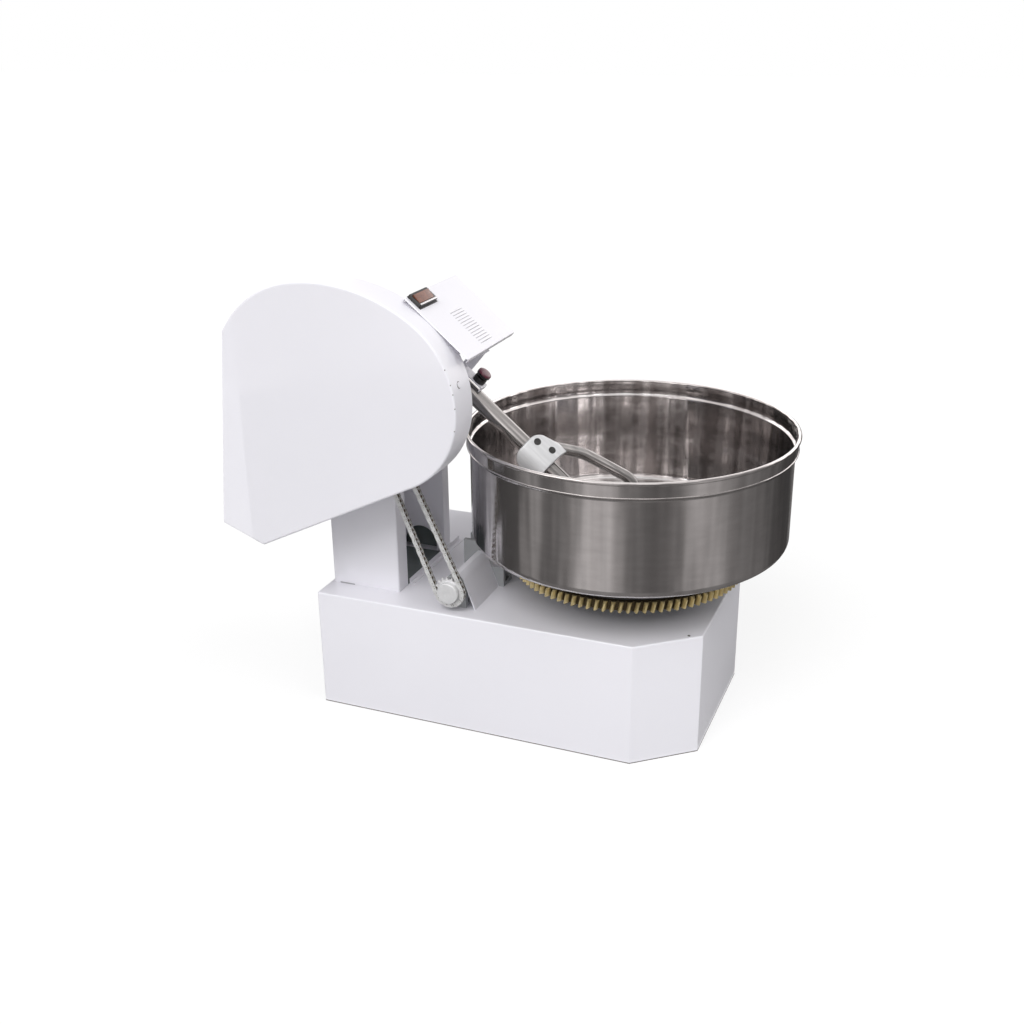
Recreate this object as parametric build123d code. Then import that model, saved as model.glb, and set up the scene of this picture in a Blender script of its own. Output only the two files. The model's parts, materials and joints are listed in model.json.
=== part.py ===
"""Fork-type dough mixer with a turning bowl, built as separate named pieces.

Millimetres. The origin is the centre of the base's footprint on the floor. +X points from the
column to the bowl, +Y to the back and +Z up.
"""
import math
import os

from build123d import *

# Fits and sheet metal
RUNNING_GAP = 0.2
SEAT_GAP = 0.05
THIN_SHEET = 2.0
SHEET = 4.0

# Base
BASE_LENGTH = 1200.0
BASE_WIDTH = 785.0
BASE_HEIGHT = 388.0
BASE_CORNER_X = 171.0
BASE_CORNER_Y = 140.0
FLOOR_PLATE = 8.0

# Bowl: outer radii, and heights above the base; its rim starts a set way from the base's left end
RIM_RADIUS = 500.0
RIM_ROLL = 6.0
RIM_START = 393.0
BOWL_X = RIM_START + RIM_RADIUS - BASE_LENGTH / 2
BAND_HEIGHT = 47.0
WALL_RADIUS = RIM_RADIUS - 15.0
BOWL_BOTTOM = BASE_HEIGHT + 178.0
BOWL_DEPTH = 352.0
RIM_Z = BOWL_BOTTOM + BOWL_DEPTH
BOWL_CORNER = 30.0
BOWL_SHEET = 4.0

# Bowl drive: worm, brass ring and transfer gears
RING_MODULE = 7.6
RING_INSET = 135.4
RING_TEETH = round(2 * (WALL_RADIUS - RING_INSET) / RING_MODULE)
RING_RADIUS = RING_MODULE * RING_TEETH / 2
RING_WIDTH = 30.0
RING_BEVEL = 5.0
RING_TOP = BOWL_BOTTOM - 69.0
RING_BORE = RING_RADIUS - 59.6
WORM_STARTS = 2
WORM_RADIUS = 38.0
WORM_LENGTH = 120.0
GEAR_MODULE = 3.0
PINION_TEETH = 20
TRANSFER_TEETH = 23
TRANSFER_ANGLE = 25.6
GEAR_WIDTH = 24.0
GEAR_Y = -116.0
BACKLASH = 1.2
GEAR_BACKLASH = 0.5

# Roller chain
CHAIN_PITCH = 15.875
CHAIN_SPAN = 698.0
CHAIN_LEAN = 23.4
ROLLER_RADIUS = 0.32 * CHAIN_PITCH
LOWER_TEETH = 17
UPPER_TEETH = 11

# Fork shaft and head: the shaft's tilt below level, and lengths along it from the head frame's origin
FORK_TILT = 40.0
FORK_TURN = 31.0
FLOOR_CLEARANCE = 88.8
SHAFT_RADIUS = 25.0
TINE_RADIUS = 17.0
SADDLE_LENGTH = 106.0
SADDLE_ARC = 116.0
SADDLE_CREST = 48.0
WHEEL_S = -284.9
WHEEL_TEETH = 30
WHEEL_MODULE = 6.4
WHEEL_WIDTH = 46.0
HEAD_WORM_STARTS = 3
HEAD_WORM_RADIUS = 63.4
HEAD_WORM_LENGTH = 116.0
HEAD_HALF_WIDTH = 100.0
HEAD_WALL = 25.0
NOSE_END = -75.0
NOSE_RADIUS = 50.0

# Column: its length, wall and the front and back of each post
COLUMN_LENGTH = 232.0
COLUMN_WALL = 5.0
FRONT_POST = (-302.5, -237.5)
REAR_POST = (32.5, 77.5)
TOP_PLATE = 16.0

# Belt drive and motor
MOTOR_RADIUS = 95.0
MOTOR_PLATE = 16.0
MOTOR_DROP = 350.0
DRIVE_PULLEY_RADIUS = 240.0
MOTOR_PULLEY_RADIUS = 62.0
BELT_COUNT = 3
BELT_SPACING = 19.0

# Belt guard: its bottom edge, then the radius and sweep of each arc of its outline
GUARD_BOTTOM_ANGLE = 26.1
GUARD_BOTTOM_LENGTH = 572.0
GUARD_ARCS = (
    (DRIVE_PULLEY_RADIUS + 10.0, 57.6),
    (DRIVE_PULLEY_RADIUS + 55.4, 62.6),
    (DRIVE_PULLEY_RADIUS + 280.0, 42.0),
    (DRIVE_PULLEY_RADIUS + 90.0, 50.6),
)
GUARD_FACE_Y = -507.5
GUARD_DEPTH = 113.0
GUARD_SHEET = 2.5

# Places from front to back: belts, chain and head sit behind the guard's face in that order
GUARD_BACK = GUARD_FACE_Y + GUARD_DEPTH
BELT_Y = GUARD_FACE_Y + 49.5
CHAIN_Y = GUARD_BACK + 30.0
HEAD_Y = CHAIN_Y + HEAD_HALF_WIDTH + 22.0

# Control box on the head, along the fork axis, its width and depth, and the lid's lip over the guard
BOX_START = -296.0
BOX_END = -52.0
BOX_WIDTH = 297.0
BOX_DEPTH = 44.0
LID_LIP = 42.0
BOX_FRONT = GUARD_BACK + 3.5 - HEAD_Y
BOX_REAR = BOX_FRONT + BOX_WIDTH
LID_FRONT = BOX_FRONT - LID_LIP
LOUVRE_COUNT = 13

# Worked-out drive geometry
RING_MID = RING_TOP - RING_WIDTH / 2
WORM_X = BOWL_X - RING_RADIUS - WORM_RADIUS
WORM_Z = RING_MID
TRANSFER_CENTRES = GEAR_MODULE * (PINION_TEETH + TRANSFER_TEETH) / 2
INPUT_X = WORM_X - TRANSFER_CENTRES * math.cos(math.radians(TRANSFER_ANGLE))
INPUT_Z = WORM_Z - TRANSFER_CENTRES * math.sin(math.radians(TRANSFER_ANGLE))


# Basic shapes
def box(x0, x1, y0, y1, z0, z1):
    return Pos((x0 + x1) / 2, (y0 + y1) / 2, (z0 + z1) / 2) * Box(x1 - x0, y1 - y0, z1 - z0)


def rod_x(radius, y, z, x0, x1):
    return Pos((x0 + x1) / 2, y, z) * Rot(0, 90, 0) * Cylinder(radius, x1 - x0)


def rod_y(radius, x, z, y0, y1):
    return Pos(x, (y0 + y1) / 2, z) * Rot(90, 0, 0) * Cylinder(radius, y1 - y0)


def rod_z(radius, x, y, z0, z1):
    return Pos(x, y, (z0 + z1) / 2) * Cylinder(radius, z1 - z0)


def ring_x(outer, inner, y, z, x0, x1):
    return rod_x(outer, y, z, x0, x1) - rod_x(inner, y, z, x0, x1)


def ring_y(outer, inner, x, z, y0, y1):
    return rod_y(outer, x, z, y0, y1) - rod_y(inner, x, z, y0, y1)


def ring_z(outer, inner, x, y, z0, z1):
    return rod_z(outer, x, y, z0, z1) - rod_z(inner, x, y, z0, z1)


def outline(points):
    return make_face(Polyline(*points, close=True).edges())


def upright(x, y, z):
    """A drawing plane whose own x and y run along +X and +Z, facing the front."""
    return Plane(origin=(x, y, z), x_dir=(1, 0, 0), z_dir=(0, -1, 0)).location


def prism_y(face, y0, y1):
    """An XZ drawing made solid between two Y values."""
    return extrude(upright(0, y1, 0) * face, amount=y1 - y0, dir=(0, -1, 0))


def turned(points):
    """A solid of revolution about Z from (radius, height) corners."""
    return revolve(Plane.XZ * outline(points), Axis.Z)


def hex_bolts(places, across, height, turn=Rot(0, 0, 0)):
    head = extrude(RegularPolygon(across / math.sqrt(3), 6), height)
    return [Pos(*place) * turn * head for place in places]


def save(name, *shapes):
    solids = [solid for shape in shapes for solid in shape.solids()]
    export_step(solids[0] if len(solids) == 1 else Compound(solids), f"parts/{name}.step")


# Gears, worms and sprockets
def involute(base, radius):
    pressure = math.acos(min(1.0, base / radius))
    return math.tan(pressure) - pressure


def gear_face(teeth, module, backlash, turn=0.0, bevel=0.0):
    """Gear outline with a tooth centred on the angle turn, in degrees."""
    pitch_radius = module * teeth / 2
    base = pitch_radius * math.cos(math.radians(20))
    half_pitch = (math.pi * module / 2 - backlash) / 2 / pitch_radius
    flank = []
    for radius in (pitch_radius - 1.25 * module, pitch_radius, pitch_radius + module):
        half = half_pitch + involute(base, pitch_radius) - involute(base, radius)
        flank.append((radius, half))
    flank[-1] = (flank[-1][0] - bevel, flank[-1][1])
    points = []
    for tooth in range(teeth):
        middle = math.radians(turn) + 2 * math.pi * tooth / teeth
        sides = [(radius, middle - half) for radius, half in flank]
        sides += [(radius, middle + half) for radius, half in reversed(flank)]
        points += [(radius * math.cos(angle), radius * math.sin(angle)) for radius, angle in sides]
    return outline(points)


def helical_gear(teeth, module, width, lead_angle, turn, bevel=0.0):
    """Wheel for a right-hand worm, centred on its own plane."""
    twist = math.degrees(math.tan(math.radians(lead_angle)) / (module * teeth / 2))
    heights = [(-width / 2, 0.0), (width / 2 - bevel, 0.0)]
    if bevel:
        heights.append((width / 2, bevel))
    sections = [Pos(0, 0, z) * gear_face(teeth, module, BACKLASH, turn + twist * z, cut)
                for z, cut in heights]
    return loft(sections, ruled=True)


def worm(starts, module, pitch_radius, length, bore, turn):
    """Right-hand worm along its own Z with a thread crest at the angle turn at mid length."""
    pitch = math.pi * module
    lead = starts * pitch
    tip = pitch_radius + module
    slope = math.tan(math.radians(20))
    crest = pitch / 4 - module * slope - BACKLASH / 4
    count = 16 * starts
    points = []
    for index in range(count):
        angle = 2 * math.pi * index / count
        offset = abs((lead * index / count + pitch / 2) % pitch - pitch / 2)
        depth = min(max(0.0, (offset - crest) / slope), 2.2 * module)
        points.append(((tip - depth) * math.cos(angle), (tip - depth) * math.sin(angle)))
    twist = 360 * length / lead
    section = Pos(0, 0, -length / 2) * Rot(0, 0, turn - twist / 2) * outline(points)
    thread = Solid.extrude_linear_with_rotation(
        section.face(), center=(0, 0, -length / 2), normal=(0, 0, length), angle=twist
    )
    return thread - Cylinder(bore, length * 2)


def pitch_radius_of(teeth):
    return CHAIN_PITCH / 2 / math.sin(math.pi / teeth)


def sprocket_face(teeth, gap_angle):
    """Sprocket outline with a roller seat at gap_angle, in radians."""
    radius = pitch_radius_of(teeth)
    tip = radius + 0.27 * CHAIN_PITCH
    seat = ROLLER_RADIUS + 0.35
    out = 0.5 * CHAIN_PITCH
    side = seat + 0.315 * CHAIN_PITCH
    mouth = outline([(0, -seat), (out, -side), (out, side), (0, seat)])
    face = Circle(tip)
    for tooth in range(teeth):
        angle = math.degrees(gap_angle) + 360 * tooth / teeth
        face -= Rot(0, 0, angle) * Pos(radius, 0) * (Circle(seat) + mouth)
    return face


# Chain course: the lower sprocket is its origin, the upper one straight above it before leaning
LOWER_RADIUS = pitch_radius_of(LOWER_TEETH)
UPPER_RADIUS = pitch_radius_of(UPPER_TEETH)


def chain_course(centres):
    """Run length and tangent angle for a distance between sprocket centres."""
    tilt = math.asin((LOWER_RADIUS - UPPER_RADIUS) / centres)
    return centres * math.cos(tilt), tilt


def links_needed(centres):
    run, tilt = chain_course(centres)
    upper = (math.pi - 2 * tilt) * UPPER_TEETH / (2 * math.pi)
    lower = (math.pi + 2 * tilt) * LOWER_TEETH / (2 * math.pi)
    return 2 * run / CHAIN_PITCH + upper + lower


CHAIN_LINKS = 2 * round(links_needed(CHAIN_SPAN) / 2)


def chain_centres():
    """The centre distance that a whole number of links fits, by halving."""
    low, high = 100.0, 3000.0
    for _ in range(60):
        middle = (low + high) / 2
        if links_needed(middle) < CHAIN_LINKS:
            low = middle
        else:
            high = middle
    return low


CHAIN_CENTRES = chain_centres()
CHAIN_RUN, CHAIN_TILT = chain_course(CHAIN_CENTRES)
RUN_LINKS = CHAIN_RUN / CHAIN_PITCH
UPPER_LINKS = (math.pi - 2 * CHAIN_TILT) * UPPER_TEETH / (2 * math.pi)
LEAN = math.radians(CHAIN_LEAN)
MAIN_X = INPUT_X - CHAIN_CENTRES * math.sin(LEAN)
MAIN_Z = INPUT_Z + CHAIN_CENTRES * math.cos(LEAN)


def wrap_angle(count):
    """Angle of a roller on the sprocket that it has reached, before leaning."""
    past_upper = count - RUN_LINKS
    if past_upper <= UPPER_LINKS:
        return CHAIN_TILT + past_upper * 2 * math.pi / UPPER_TEETH
    past_lower = count - 2 * RUN_LINKS - UPPER_LINKS
    return math.pi - CHAIN_TILT + past_lower * 2 * math.pi / LOWER_TEETH


def roller_place(count):
    """XZ centre of a roller, counted in links along the chain."""
    left_start = RUN_LINKS + UPPER_LINKS
    lower_start = left_start + RUN_LINKS
    if count < RUN_LINKS or left_start <= count < lower_start:
        rising = count < RUN_LINKS
        side = CHAIN_TILT if rising else math.pi - CHAIN_TILT
        share = count / RUN_LINKS if rising else (lower_start - count) / RUN_LINKS
        radius = LOWER_RADIUS + (UPPER_RADIUS - LOWER_RADIUS) * share
        u = radius * math.cos(side)
        v = radius * math.sin(side) + CHAIN_CENTRES * share
    else:
        upper = count < left_start
        angle = wrap_angle(count)
        radius = UPPER_RADIUS if upper else LOWER_RADIUS
        u = radius * math.cos(angle)
        v = radius * math.sin(angle) + (CHAIN_CENTRES if upper else 0.0)
    x = INPUT_X + u * math.cos(LEAN) - v * math.sin(LEAN)
    return x, INPUT_Z + u * math.sin(LEAN) + v * math.cos(LEAN)


UPPER_GAP = wrap_angle(math.ceil(RUN_LINKS)) + LEAN
LOWER_GAP = wrap_angle(math.ceil(2 * RUN_LINKS + UPPER_LINKS)) + LEAN

# Head frame: x down along the fork shaft, y to the back, z square to the shaft
TILT = math.radians(FORK_TILT)
WHEEL_RADIUS = WHEEL_MODULE * WHEEL_TEETH / 2
HEAD_CENTRES = WHEEL_RADIUS + HEAD_WORM_RADIUS
FORK_POINT = (
    MAIN_X - WHEEL_S * math.cos(TILT) + HEAD_CENTRES * math.sin(TILT),
    HEAD_Y,
    MAIN_Z + WHEEL_S * math.sin(TILT) + HEAD_CENTRES * math.cos(TILT),
)
HEAD = Plane(
    origin=FORK_POINT,
    x_dir=(math.cos(TILT), 0, -math.sin(TILT)),
    z_dir=(math.sin(TILT), 0, math.cos(TILT)),
).location
FORK = HEAD * Rot(90 - FORK_TURN, 0, 0)
FORK_REACH = (FORK_POINT[2] - BOWL_BOTTOM - FLOOR_CLEARANCE) / math.sin(TILT)

# Column and motor, placed from the main shaft
COLUMN_LEFT = MAIN_X - 157.9
COLUMN_RIGHT = COLUMN_LEFT + COLUMN_LENGTH
COLUMN_TOP = MAIN_Z - 215.0
MOTOR_X = COLUMN_LEFT - MOTOR_PLATE - MOTOR_RADIUS - 23.0
MOTOR_Z = MAIN_Z - MOTOR_DROP

# Wheel chamber round the fork shaft, and the deeper worm chamber below it
CHAMBER_WALL = 8.0
WHEEL_CLEAR = WHEEL_RADIUS + WHEEL_MODULE + 3
WHEEL_HALF = WHEEL_WIDTH / 2 + 5
WORM_CLEAR = HEAD_WORM_RADIUS + WHEEL_MODULE + 4
HEAD_BACK = WHEEL_S - WHEEL_HALF - CHAMBER_WALL
HEAD_FRONT = WHEEL_S + WHEEL_HALF + CHAMBER_WALL
HEAD_TOP = WHEEL_CLEAR + CHAMBER_WALL
HEAD_BOTTOM = -(HEAD_CENTRES + WORM_CLEAR + 6)
WORM_HALF = WORM_CLEAR + 12
FOOT_THICKNESS = 16.0
FOOT_REACH = WORM_HALF + 40
FOOT_BOTTOM = HEAD_BOTTOM - FOOT_THICKNESS
BOX_BOTTOM = HEAD_TOP + 10.6
BOX_TOP = BOX_BOTTOM + BOX_DEPTH


def head_xz(s, z):
    """World X and Z of a point in the head frame."""
    x = FORK_POINT[0] + s * math.cos(TILT) + z * math.sin(TILT)
    return x, FORK_POINT[2] - s * math.sin(TILT) + z * math.cos(TILT)


# Base
def base_outline(inset=0.0):
    half_x = BASE_LENGTH / 2
    half_y = BASE_WIDTH / 2
    face = outline([
        (-half_x, -half_y),
        (half_x - BASE_CORNER_X, -half_y),
        (half_x, -half_y + BASE_CORNER_Y),
        (half_x, half_y - BASE_CORNER_Y),
        (half_x - BASE_CORNER_X, half_y),
        (-half_x, half_y),
    ])
    return offset(face, -inset, kind=Kind.INTERSECTION) if inset else face


PIVOT_RADIUS = 80.0
PIVOT_FLANGE = 150.0
PIVOT_TOP = BASE_HEIGHT + 16.0
PIVOT_BOTTOM = BASE_HEIGHT - 148.0
SPINDLE_RADIUS = 35.0
HUB_BOTTOM = PIVOT_TOP + 36.0


def build_base():
    shell = extrude(base_outline(), BASE_HEIGHT)
    shell -= extrude(base_outline(SHEET), BASE_HEIGHT - SHEET)
    shell -= rod_z(PIVOT_RADIUS + 1, BOWL_X, 0, 0, BASE_HEIGHT * 2)
    save("base_shell", shell)
    save("base_floor_plate", extrude(base_outline(SHEET), FLOOR_PLATE))

    housing = rod_z(PIVOT_RADIUS, BOWL_X, 0, PIVOT_BOTTOM, BASE_HEIGHT)
    housing += rod_z(PIVOT_FLANGE, BOWL_X, 0, BASE_HEIGHT, PIVOT_TOP)
    housing -= rod_z(62, BOWL_X, 0, PIVOT_BOTTOM + 10, PIVOT_TOP)
    save("pivot_housing", housing)
    bearings = [ring_z(62 - SEAT_GAP, SPINDLE_RADIUS + RUNNING_GAP, BOWL_X, 0, z, z + 30)
                for z in (PIVOT_BOTTOM + 10, PIVOT_TOP - 40)]
    thrust = ring_z(90, 65, BOWL_X, 0, PIVOT_TOP, HUB_BOTTOM - 0.3)
    save("bowl_bearings", *bearings, thrust)


def pivot_bolts():
    places = [(BOWL_X + 120 * math.cos(turn), 120 * math.sin(turn), PIVOT_TOP)
              for turn in (math.pi * index / 4 for index in range(8))]
    return hex_bolts(places, 24, 10)


# Bowl with its carrier, brass ring and spindle
def build_bowl():
    band = RIM_RADIUS - RIM_ROLL
    step = RIM_Z - BAND_HEIGHT
    roll = RIM_Z - RIM_ROLL
    corner = BOWL_BOTTOM + BOWL_CORNER
    inner_wall = WALL_RADIUS - BOWL_SHEET
    inner_corner = BOWL_CORNER - BOWL_SHEET
    flat = WALL_RADIUS - BOWL_CORNER
    swing = math.sqrt(0.5)
    outer_mid = (flat + BOWL_CORNER * swing, corner - BOWL_CORNER * swing)
    inner_mid = (flat + inner_corner * swing, corner - inner_corner * swing)
    edges = Polyline((0, BOWL_BOTTOM), (flat, BOWL_BOTTOM)).edges()
    edges += ThreePointArc((flat, BOWL_BOTTOM), outer_mid, (WALL_RADIUS, corner)).edges()
    edges += Polyline(
        (WALL_RADIUS, corner),
        (WALL_RADIUS, step - 12),
        (band, step),
        (band, roll),
        (band - BOWL_SHEET, roll),
        (band - BOWL_SHEET, step + 1),
        (inner_wall, step - 11),
        (inner_wall, corner),
    ).edges()
    edges += ThreePointArc((inner_wall, corner), inner_mid, (flat, BOWL_BOTTOM + BOWL_SHEET)).edges()
    floor = BOWL_BOTTOM + BOWL_SHEET
    edges += Polyline((flat, floor), (0, floor), (0, BOWL_BOTTOM)).edges()
    section = make_face(edges) + Pos(band, roll) * Circle(RIM_ROLL)
    bowl_axis = Pos(BOWL_X, 0, 0)
    save("bowl", bowl_axis * revolve(Plane.XZ * section, Axis.Z))

    drum = RING_BORE + 40
    carrier = turned([
        (SPINDLE_RADIUS + SEAT_GAP, HUB_BOTTOM),
        (90, HUB_BOTTOM),
        (90, RING_TOP),
        (drum, RING_TOP),
        (drum, BOWL_BOTTOM),
        (drum - 30, BOWL_BOTTOM),
        (drum - 30, RING_TOP + 18),
        (SPINDLE_RADIUS + SEAT_GAP, RING_TOP + 18),
    ])
    save("bowl_carrier", bowl_axis * carrier)
    spindle_top = RING_TOP + 18
    spindle = rod_z(SPINDLE_RADIUS, BOWL_X, 0, PIVOT_BOTTOM + 12, spindle_top)
    save("bowl_spindle", spindle + rod_z(60, BOWL_X, 0, spindle_top, spindle_top + 12))

    lead_angle = math.degrees(math.atan(WORM_STARTS * RING_MODULE / 2 / WORM_RADIUS))
    ring = helical_gear(RING_TEETH, RING_MODULE, RING_WIDTH, lead_angle, 180 + 180 / RING_TEETH, RING_BEVEL)
    ring = ring - Cylinder(RING_BORE, RING_WIDTH * 2)
    save("ring_gear", Pos(BOWL_X, 0, RING_MID) * ring)


# Worm shaft, input shaft and their bearings on the base
CASE_FRONT = GEAR_Y - GEAR_WIDTH / 2 - 22
CASE_BACK = GEAR_Y + GEAR_WIDTH / 2 + 22
CASE_PLATE = 14.0
CASE_LEFT = INPUT_X - 48
CASE_RIGHT = BOWL_X - RING_RADIUS - 10
CASE_TOP = WORM_Z + 50
REAR_BRACKET = CASE_BACK - CASE_PLATE + WORM_LENGTH + 44
INPUT_RADIUS = 15.0
WORM_SHAFT_RADIUS = 16.0
INPUT_FRONT = CHAIN_Y - 20
PEDESTAL_FRONT = CHAIN_Y + 34.0
PEDESTAL_DEPTH = 20.0


def build_bowl_drive():
    gear_start = GEAR_Y - GEAR_WIDTH / 2
    gear_end = GEAR_Y + GEAR_WIDTH / 2
    save("input_shaft", rod_y(INPUT_RADIUS, INPUT_X, INPUT_Z, INPUT_FRONT, CASE_BACK))
    disc = extrude(sprocket_face(LOWER_TEETH, LOWER_GAP), 4.55, both=True)
    sprocket = upright(INPUT_X, CHAIN_Y, INPUT_Z) * disc
    sprocket += rod_y(LOWER_RADIUS - 10.2, INPUT_X, INPUT_Z, CHAIN_Y - 14, CHAIN_Y)
    sprocket += rod_y(LOWER_RADIUS - 15.2, INPUT_X, INPUT_Z, CHAIN_Y, CHAIN_Y + 16)
    save("driven_sprocket", sprocket - rod_y(INPUT_RADIUS + SEAT_GAP, INPUT_X, INPUT_Z, -500, 0))

    pinion = extrude(gear_face(PINION_TEETH, GEAR_MODULE, GEAR_BACKLASH, TRANSFER_ANGLE), GEAR_WIDTH)
    pinion = upright(INPUT_X, gear_end, INPUT_Z) * pinion
    save("transfer_pinion", pinion - rod_y(INPUT_RADIUS + SEAT_GAP, INPUT_X, INPUT_Z, -500, 0))
    facing = TRANSFER_ANGLE + 180 + 180 / TRANSFER_TEETH
    gear = extrude(gear_face(TRANSFER_TEETH, GEAR_MODULE, GEAR_BACKLASH, facing), GEAR_WIDTH)
    gear = upright(WORM_X, gear_end, WORM_Z) * gear
    save("transfer_gear", gear - rod_y(WORM_SHAFT_RADIUS + SEAT_GAP, WORM_X, WORM_Z, -500, 500))
    save("worm_shaft", rod_y(WORM_SHAFT_RADIUS, WORM_X, WORM_Z, CASE_FRONT, REAR_BRACKET + CASE_PLATE))
    thread = worm(WORM_STARTS, RING_MODULE, WORM_RADIUS, WORM_LENGTH, WORM_SHAFT_RADIUS + SEAT_GAP, 0)
    save("bowl_worm", Pos(WORM_X, 0, WORM_Z) * Rot(-90, 0, 0) * thread)

    case = box(CASE_LEFT, CASE_RIGHT, CASE_FRONT, CASE_BACK, BASE_HEIGHT, BASE_HEIGHT + 12)
    for start in (CASE_FRONT, CASE_BACK - CASE_PLATE):
        case += box(CASE_LEFT, CASE_RIGHT, start, start + CASE_PLATE, BASE_HEIGHT, CASE_TOP)
    case -= rod_y(30, INPUT_X, INPUT_Z, CASE_FRONT - 1, CASE_BACK + 1)
    case -= rod_y(30, WORM_X, WORM_Z, CASE_FRONT - 1, CASE_BACK + 1)
    save("transfer_case", case)
    rear = box(WORM_X - 45, CASE_RIGHT, REAR_BRACKET, REAR_BRACKET + CASE_PLATE, BASE_HEIGHT, CASE_TOP)
    rear += box(WORM_X - 45, CASE_RIGHT, REAR_BRACKET, REAR_BRACKET + 60, BASE_HEIGHT, BASE_HEIGHT + 12)
    rear -= rod_y(30, WORM_X, WORM_Z, REAR_BRACKET - 1, REAR_BRACKET + 61)
    pedestal = rod_y(36, INPUT_X, INPUT_Z, PEDESTAL_FRONT, PEDESTAL_FRONT + PEDESTAL_DEPTH)
    pedestal += box(INPUT_X - 36, INPUT_X + 36, PEDESTAL_FRONT, PEDESTAL_FRONT + PEDESTAL_DEPTH,
                    BASE_HEIGHT, INPUT_Z)
    pedestal += box(INPUT_X - 36, INPUT_X + 36, PEDESTAL_FRONT, PEDESTAL_FRONT + 60,
                    BASE_HEIGHT, BASE_HEIGHT + 12)
    pedestal -= rod_y(30, INPUT_X, INPUT_Z, PEDESTAL_FRONT - 1, PEDESTAL_FRONT + 61)
    save("shaft_brackets", pedestal, rear)

    starts = (CASE_FRONT, CASE_BACK - CASE_PLATE)
    input_rings = [ring_y(30 - SEAT_GAP, INPUT_RADIUS + RUNNING_GAP, INPUT_X, INPUT_Z, y, y + CASE_PLATE)
                   for y in starts]
    input_rings.append(ring_y(30 - SEAT_GAP, INPUT_RADIUS + RUNNING_GAP, INPUT_X, INPUT_Z,
                              PEDESTAL_FRONT, PEDESTAL_FRONT + PEDESTAL_DEPTH))
    worm_rings = [ring_y(30 - SEAT_GAP, WORM_SHAFT_RADIUS + RUNNING_GAP, WORM_X, WORM_Z, y, y + CASE_PLATE)
                  for y in (*starts, REAR_BRACKET)]
    save("drive_bearings", *input_rings, *worm_rings)


def bracket_bolts():
    foot = BASE_HEIGHT + 12
    places = [(CASE_LEFT + 18, GEAR_Y, foot), (CASE_RIGHT - 18, GEAR_Y, foot)]
    places += [(WORM_X + side, REAR_BRACKET + 40, foot) for side in (-28, 12)]
    places += [(INPUT_X + side, PEDESTAL_FRONT + 42, foot) for side in (-22, 22)]
    return hex_bolts(places, 16, 7)


HOOD_FRONT = CHAIN_Y + 31.0
HOOD_RIGHT = INPUT_X + 68.8
HOOD_SHOULDER = (INPUT_X + 35.8, INPUT_Z + 21.9)
HOOD_CREST = (INPUT_X + 16.8, INPUT_Z + 45.9)
HOOD_LIP = (INPUT_X + 0.8, INPUT_Z + 46.9)


def build_hood():
    """Sheet cover over the input shaft: leaning right wall, rounded crest, open to the left."""
    slope_x = HOOD_RIGHT - HOOD_SHOULDER[0]
    slope_z = HOOD_SHOULDER[1] - BASE_HEIGHT
    span = math.hypot(slope_x, slope_z)
    inward = (-slope_z / span, -slope_x / span)

    def shifted(point, by):
        return point[0] + inward[0] * by, point[1] + inward[1] * by

    foot = (HOOD_RIGHT, BASE_HEIGHT)
    inner_foot = (HOOD_RIGHT - 3.2, BASE_HEIGHT)
    inner_shoulder = shifted(HOOD_SHOULDER, 3)
    wall_end = (HOOD_CREST[0], HOOD_CREST[1] - 3)
    lip_low = (HOOD_LIP[0], HOOD_LIP[1] - 3)
    edges = Polyline(inner_foot, foot, HOOD_SHOULDER).edges()
    bend = (HOOD_SHOULDER[0] - 7, HOOD_SHOULDER[1] + 14)
    inner_bend = (inner_shoulder[0] - 6, inner_shoulder[1] + 12)
    edges += ThreePointArc(HOOD_SHOULDER, bend, HOOD_CREST).edges()
    edges += Polyline(HOOD_CREST, HOOD_LIP, lip_low, wall_end).edges()
    edges += ThreePointArc(wall_end, inner_bend, inner_shoulder).edges()
    edges += Polyline(inner_shoulder, inner_foot).edges()
    save("worm_hood", prism_y(make_face(edges), HOOD_FRONT, CASE_FRONT))


# Roller chain
def build_chain():
    stadium = SlotCenterToCenter(CHAIN_PITCH, 0.88 * CHAIN_PITCH)
    pin = 0.16 * CHAIN_PITCH
    ends = [Pos(side * CHAIN_PITCH / 2, 0) for side in (-1, 1)]
    inner_half = 4.825
    plate = 1.7
    inner_plate = extrude(stadium, plate)
    bush = Cylinder(ROLLER_RADIUS, inner_half * 2)
    inner = Pos(0, 0, inner_half) * inner_plate + Pos(0, 0, -inner_half - plate) * inner_plate
    outer_start = inner_half + plate + 0.2
    outer = Pos(0, 0, outer_start) * inner_plate + Pos(0, 0, -outer_start - plate) * inner_plate
    for end in ends:
        inner += end * bush
    for end in ends:
        inner -= end * Cylinder(pin + RUNNING_GAP, 40)
        outer += end * Cylinder(pin, 2 * (outer_start + plate + 1.2))
    links = []
    for index in range(CHAIN_LINKS):
        x0, z0 = roller_place(index)
        x1, z1 = roller_place((index + 1) % CHAIN_LINKS)
        span = math.hypot(x1 - x0, z1 - z0)
        place = Plane(
            origin=((x0 + x1) / 2, CHAIN_Y, (z0 + z1) / 2),
            x_dir=((x1 - x0) / span, 0, (z1 - z0) / span),
            z_dir=(0, -1, 0),
        ).location
        links.append(place * (inner if index % 2 else outer))
    save("drive_chain", *links)


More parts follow.
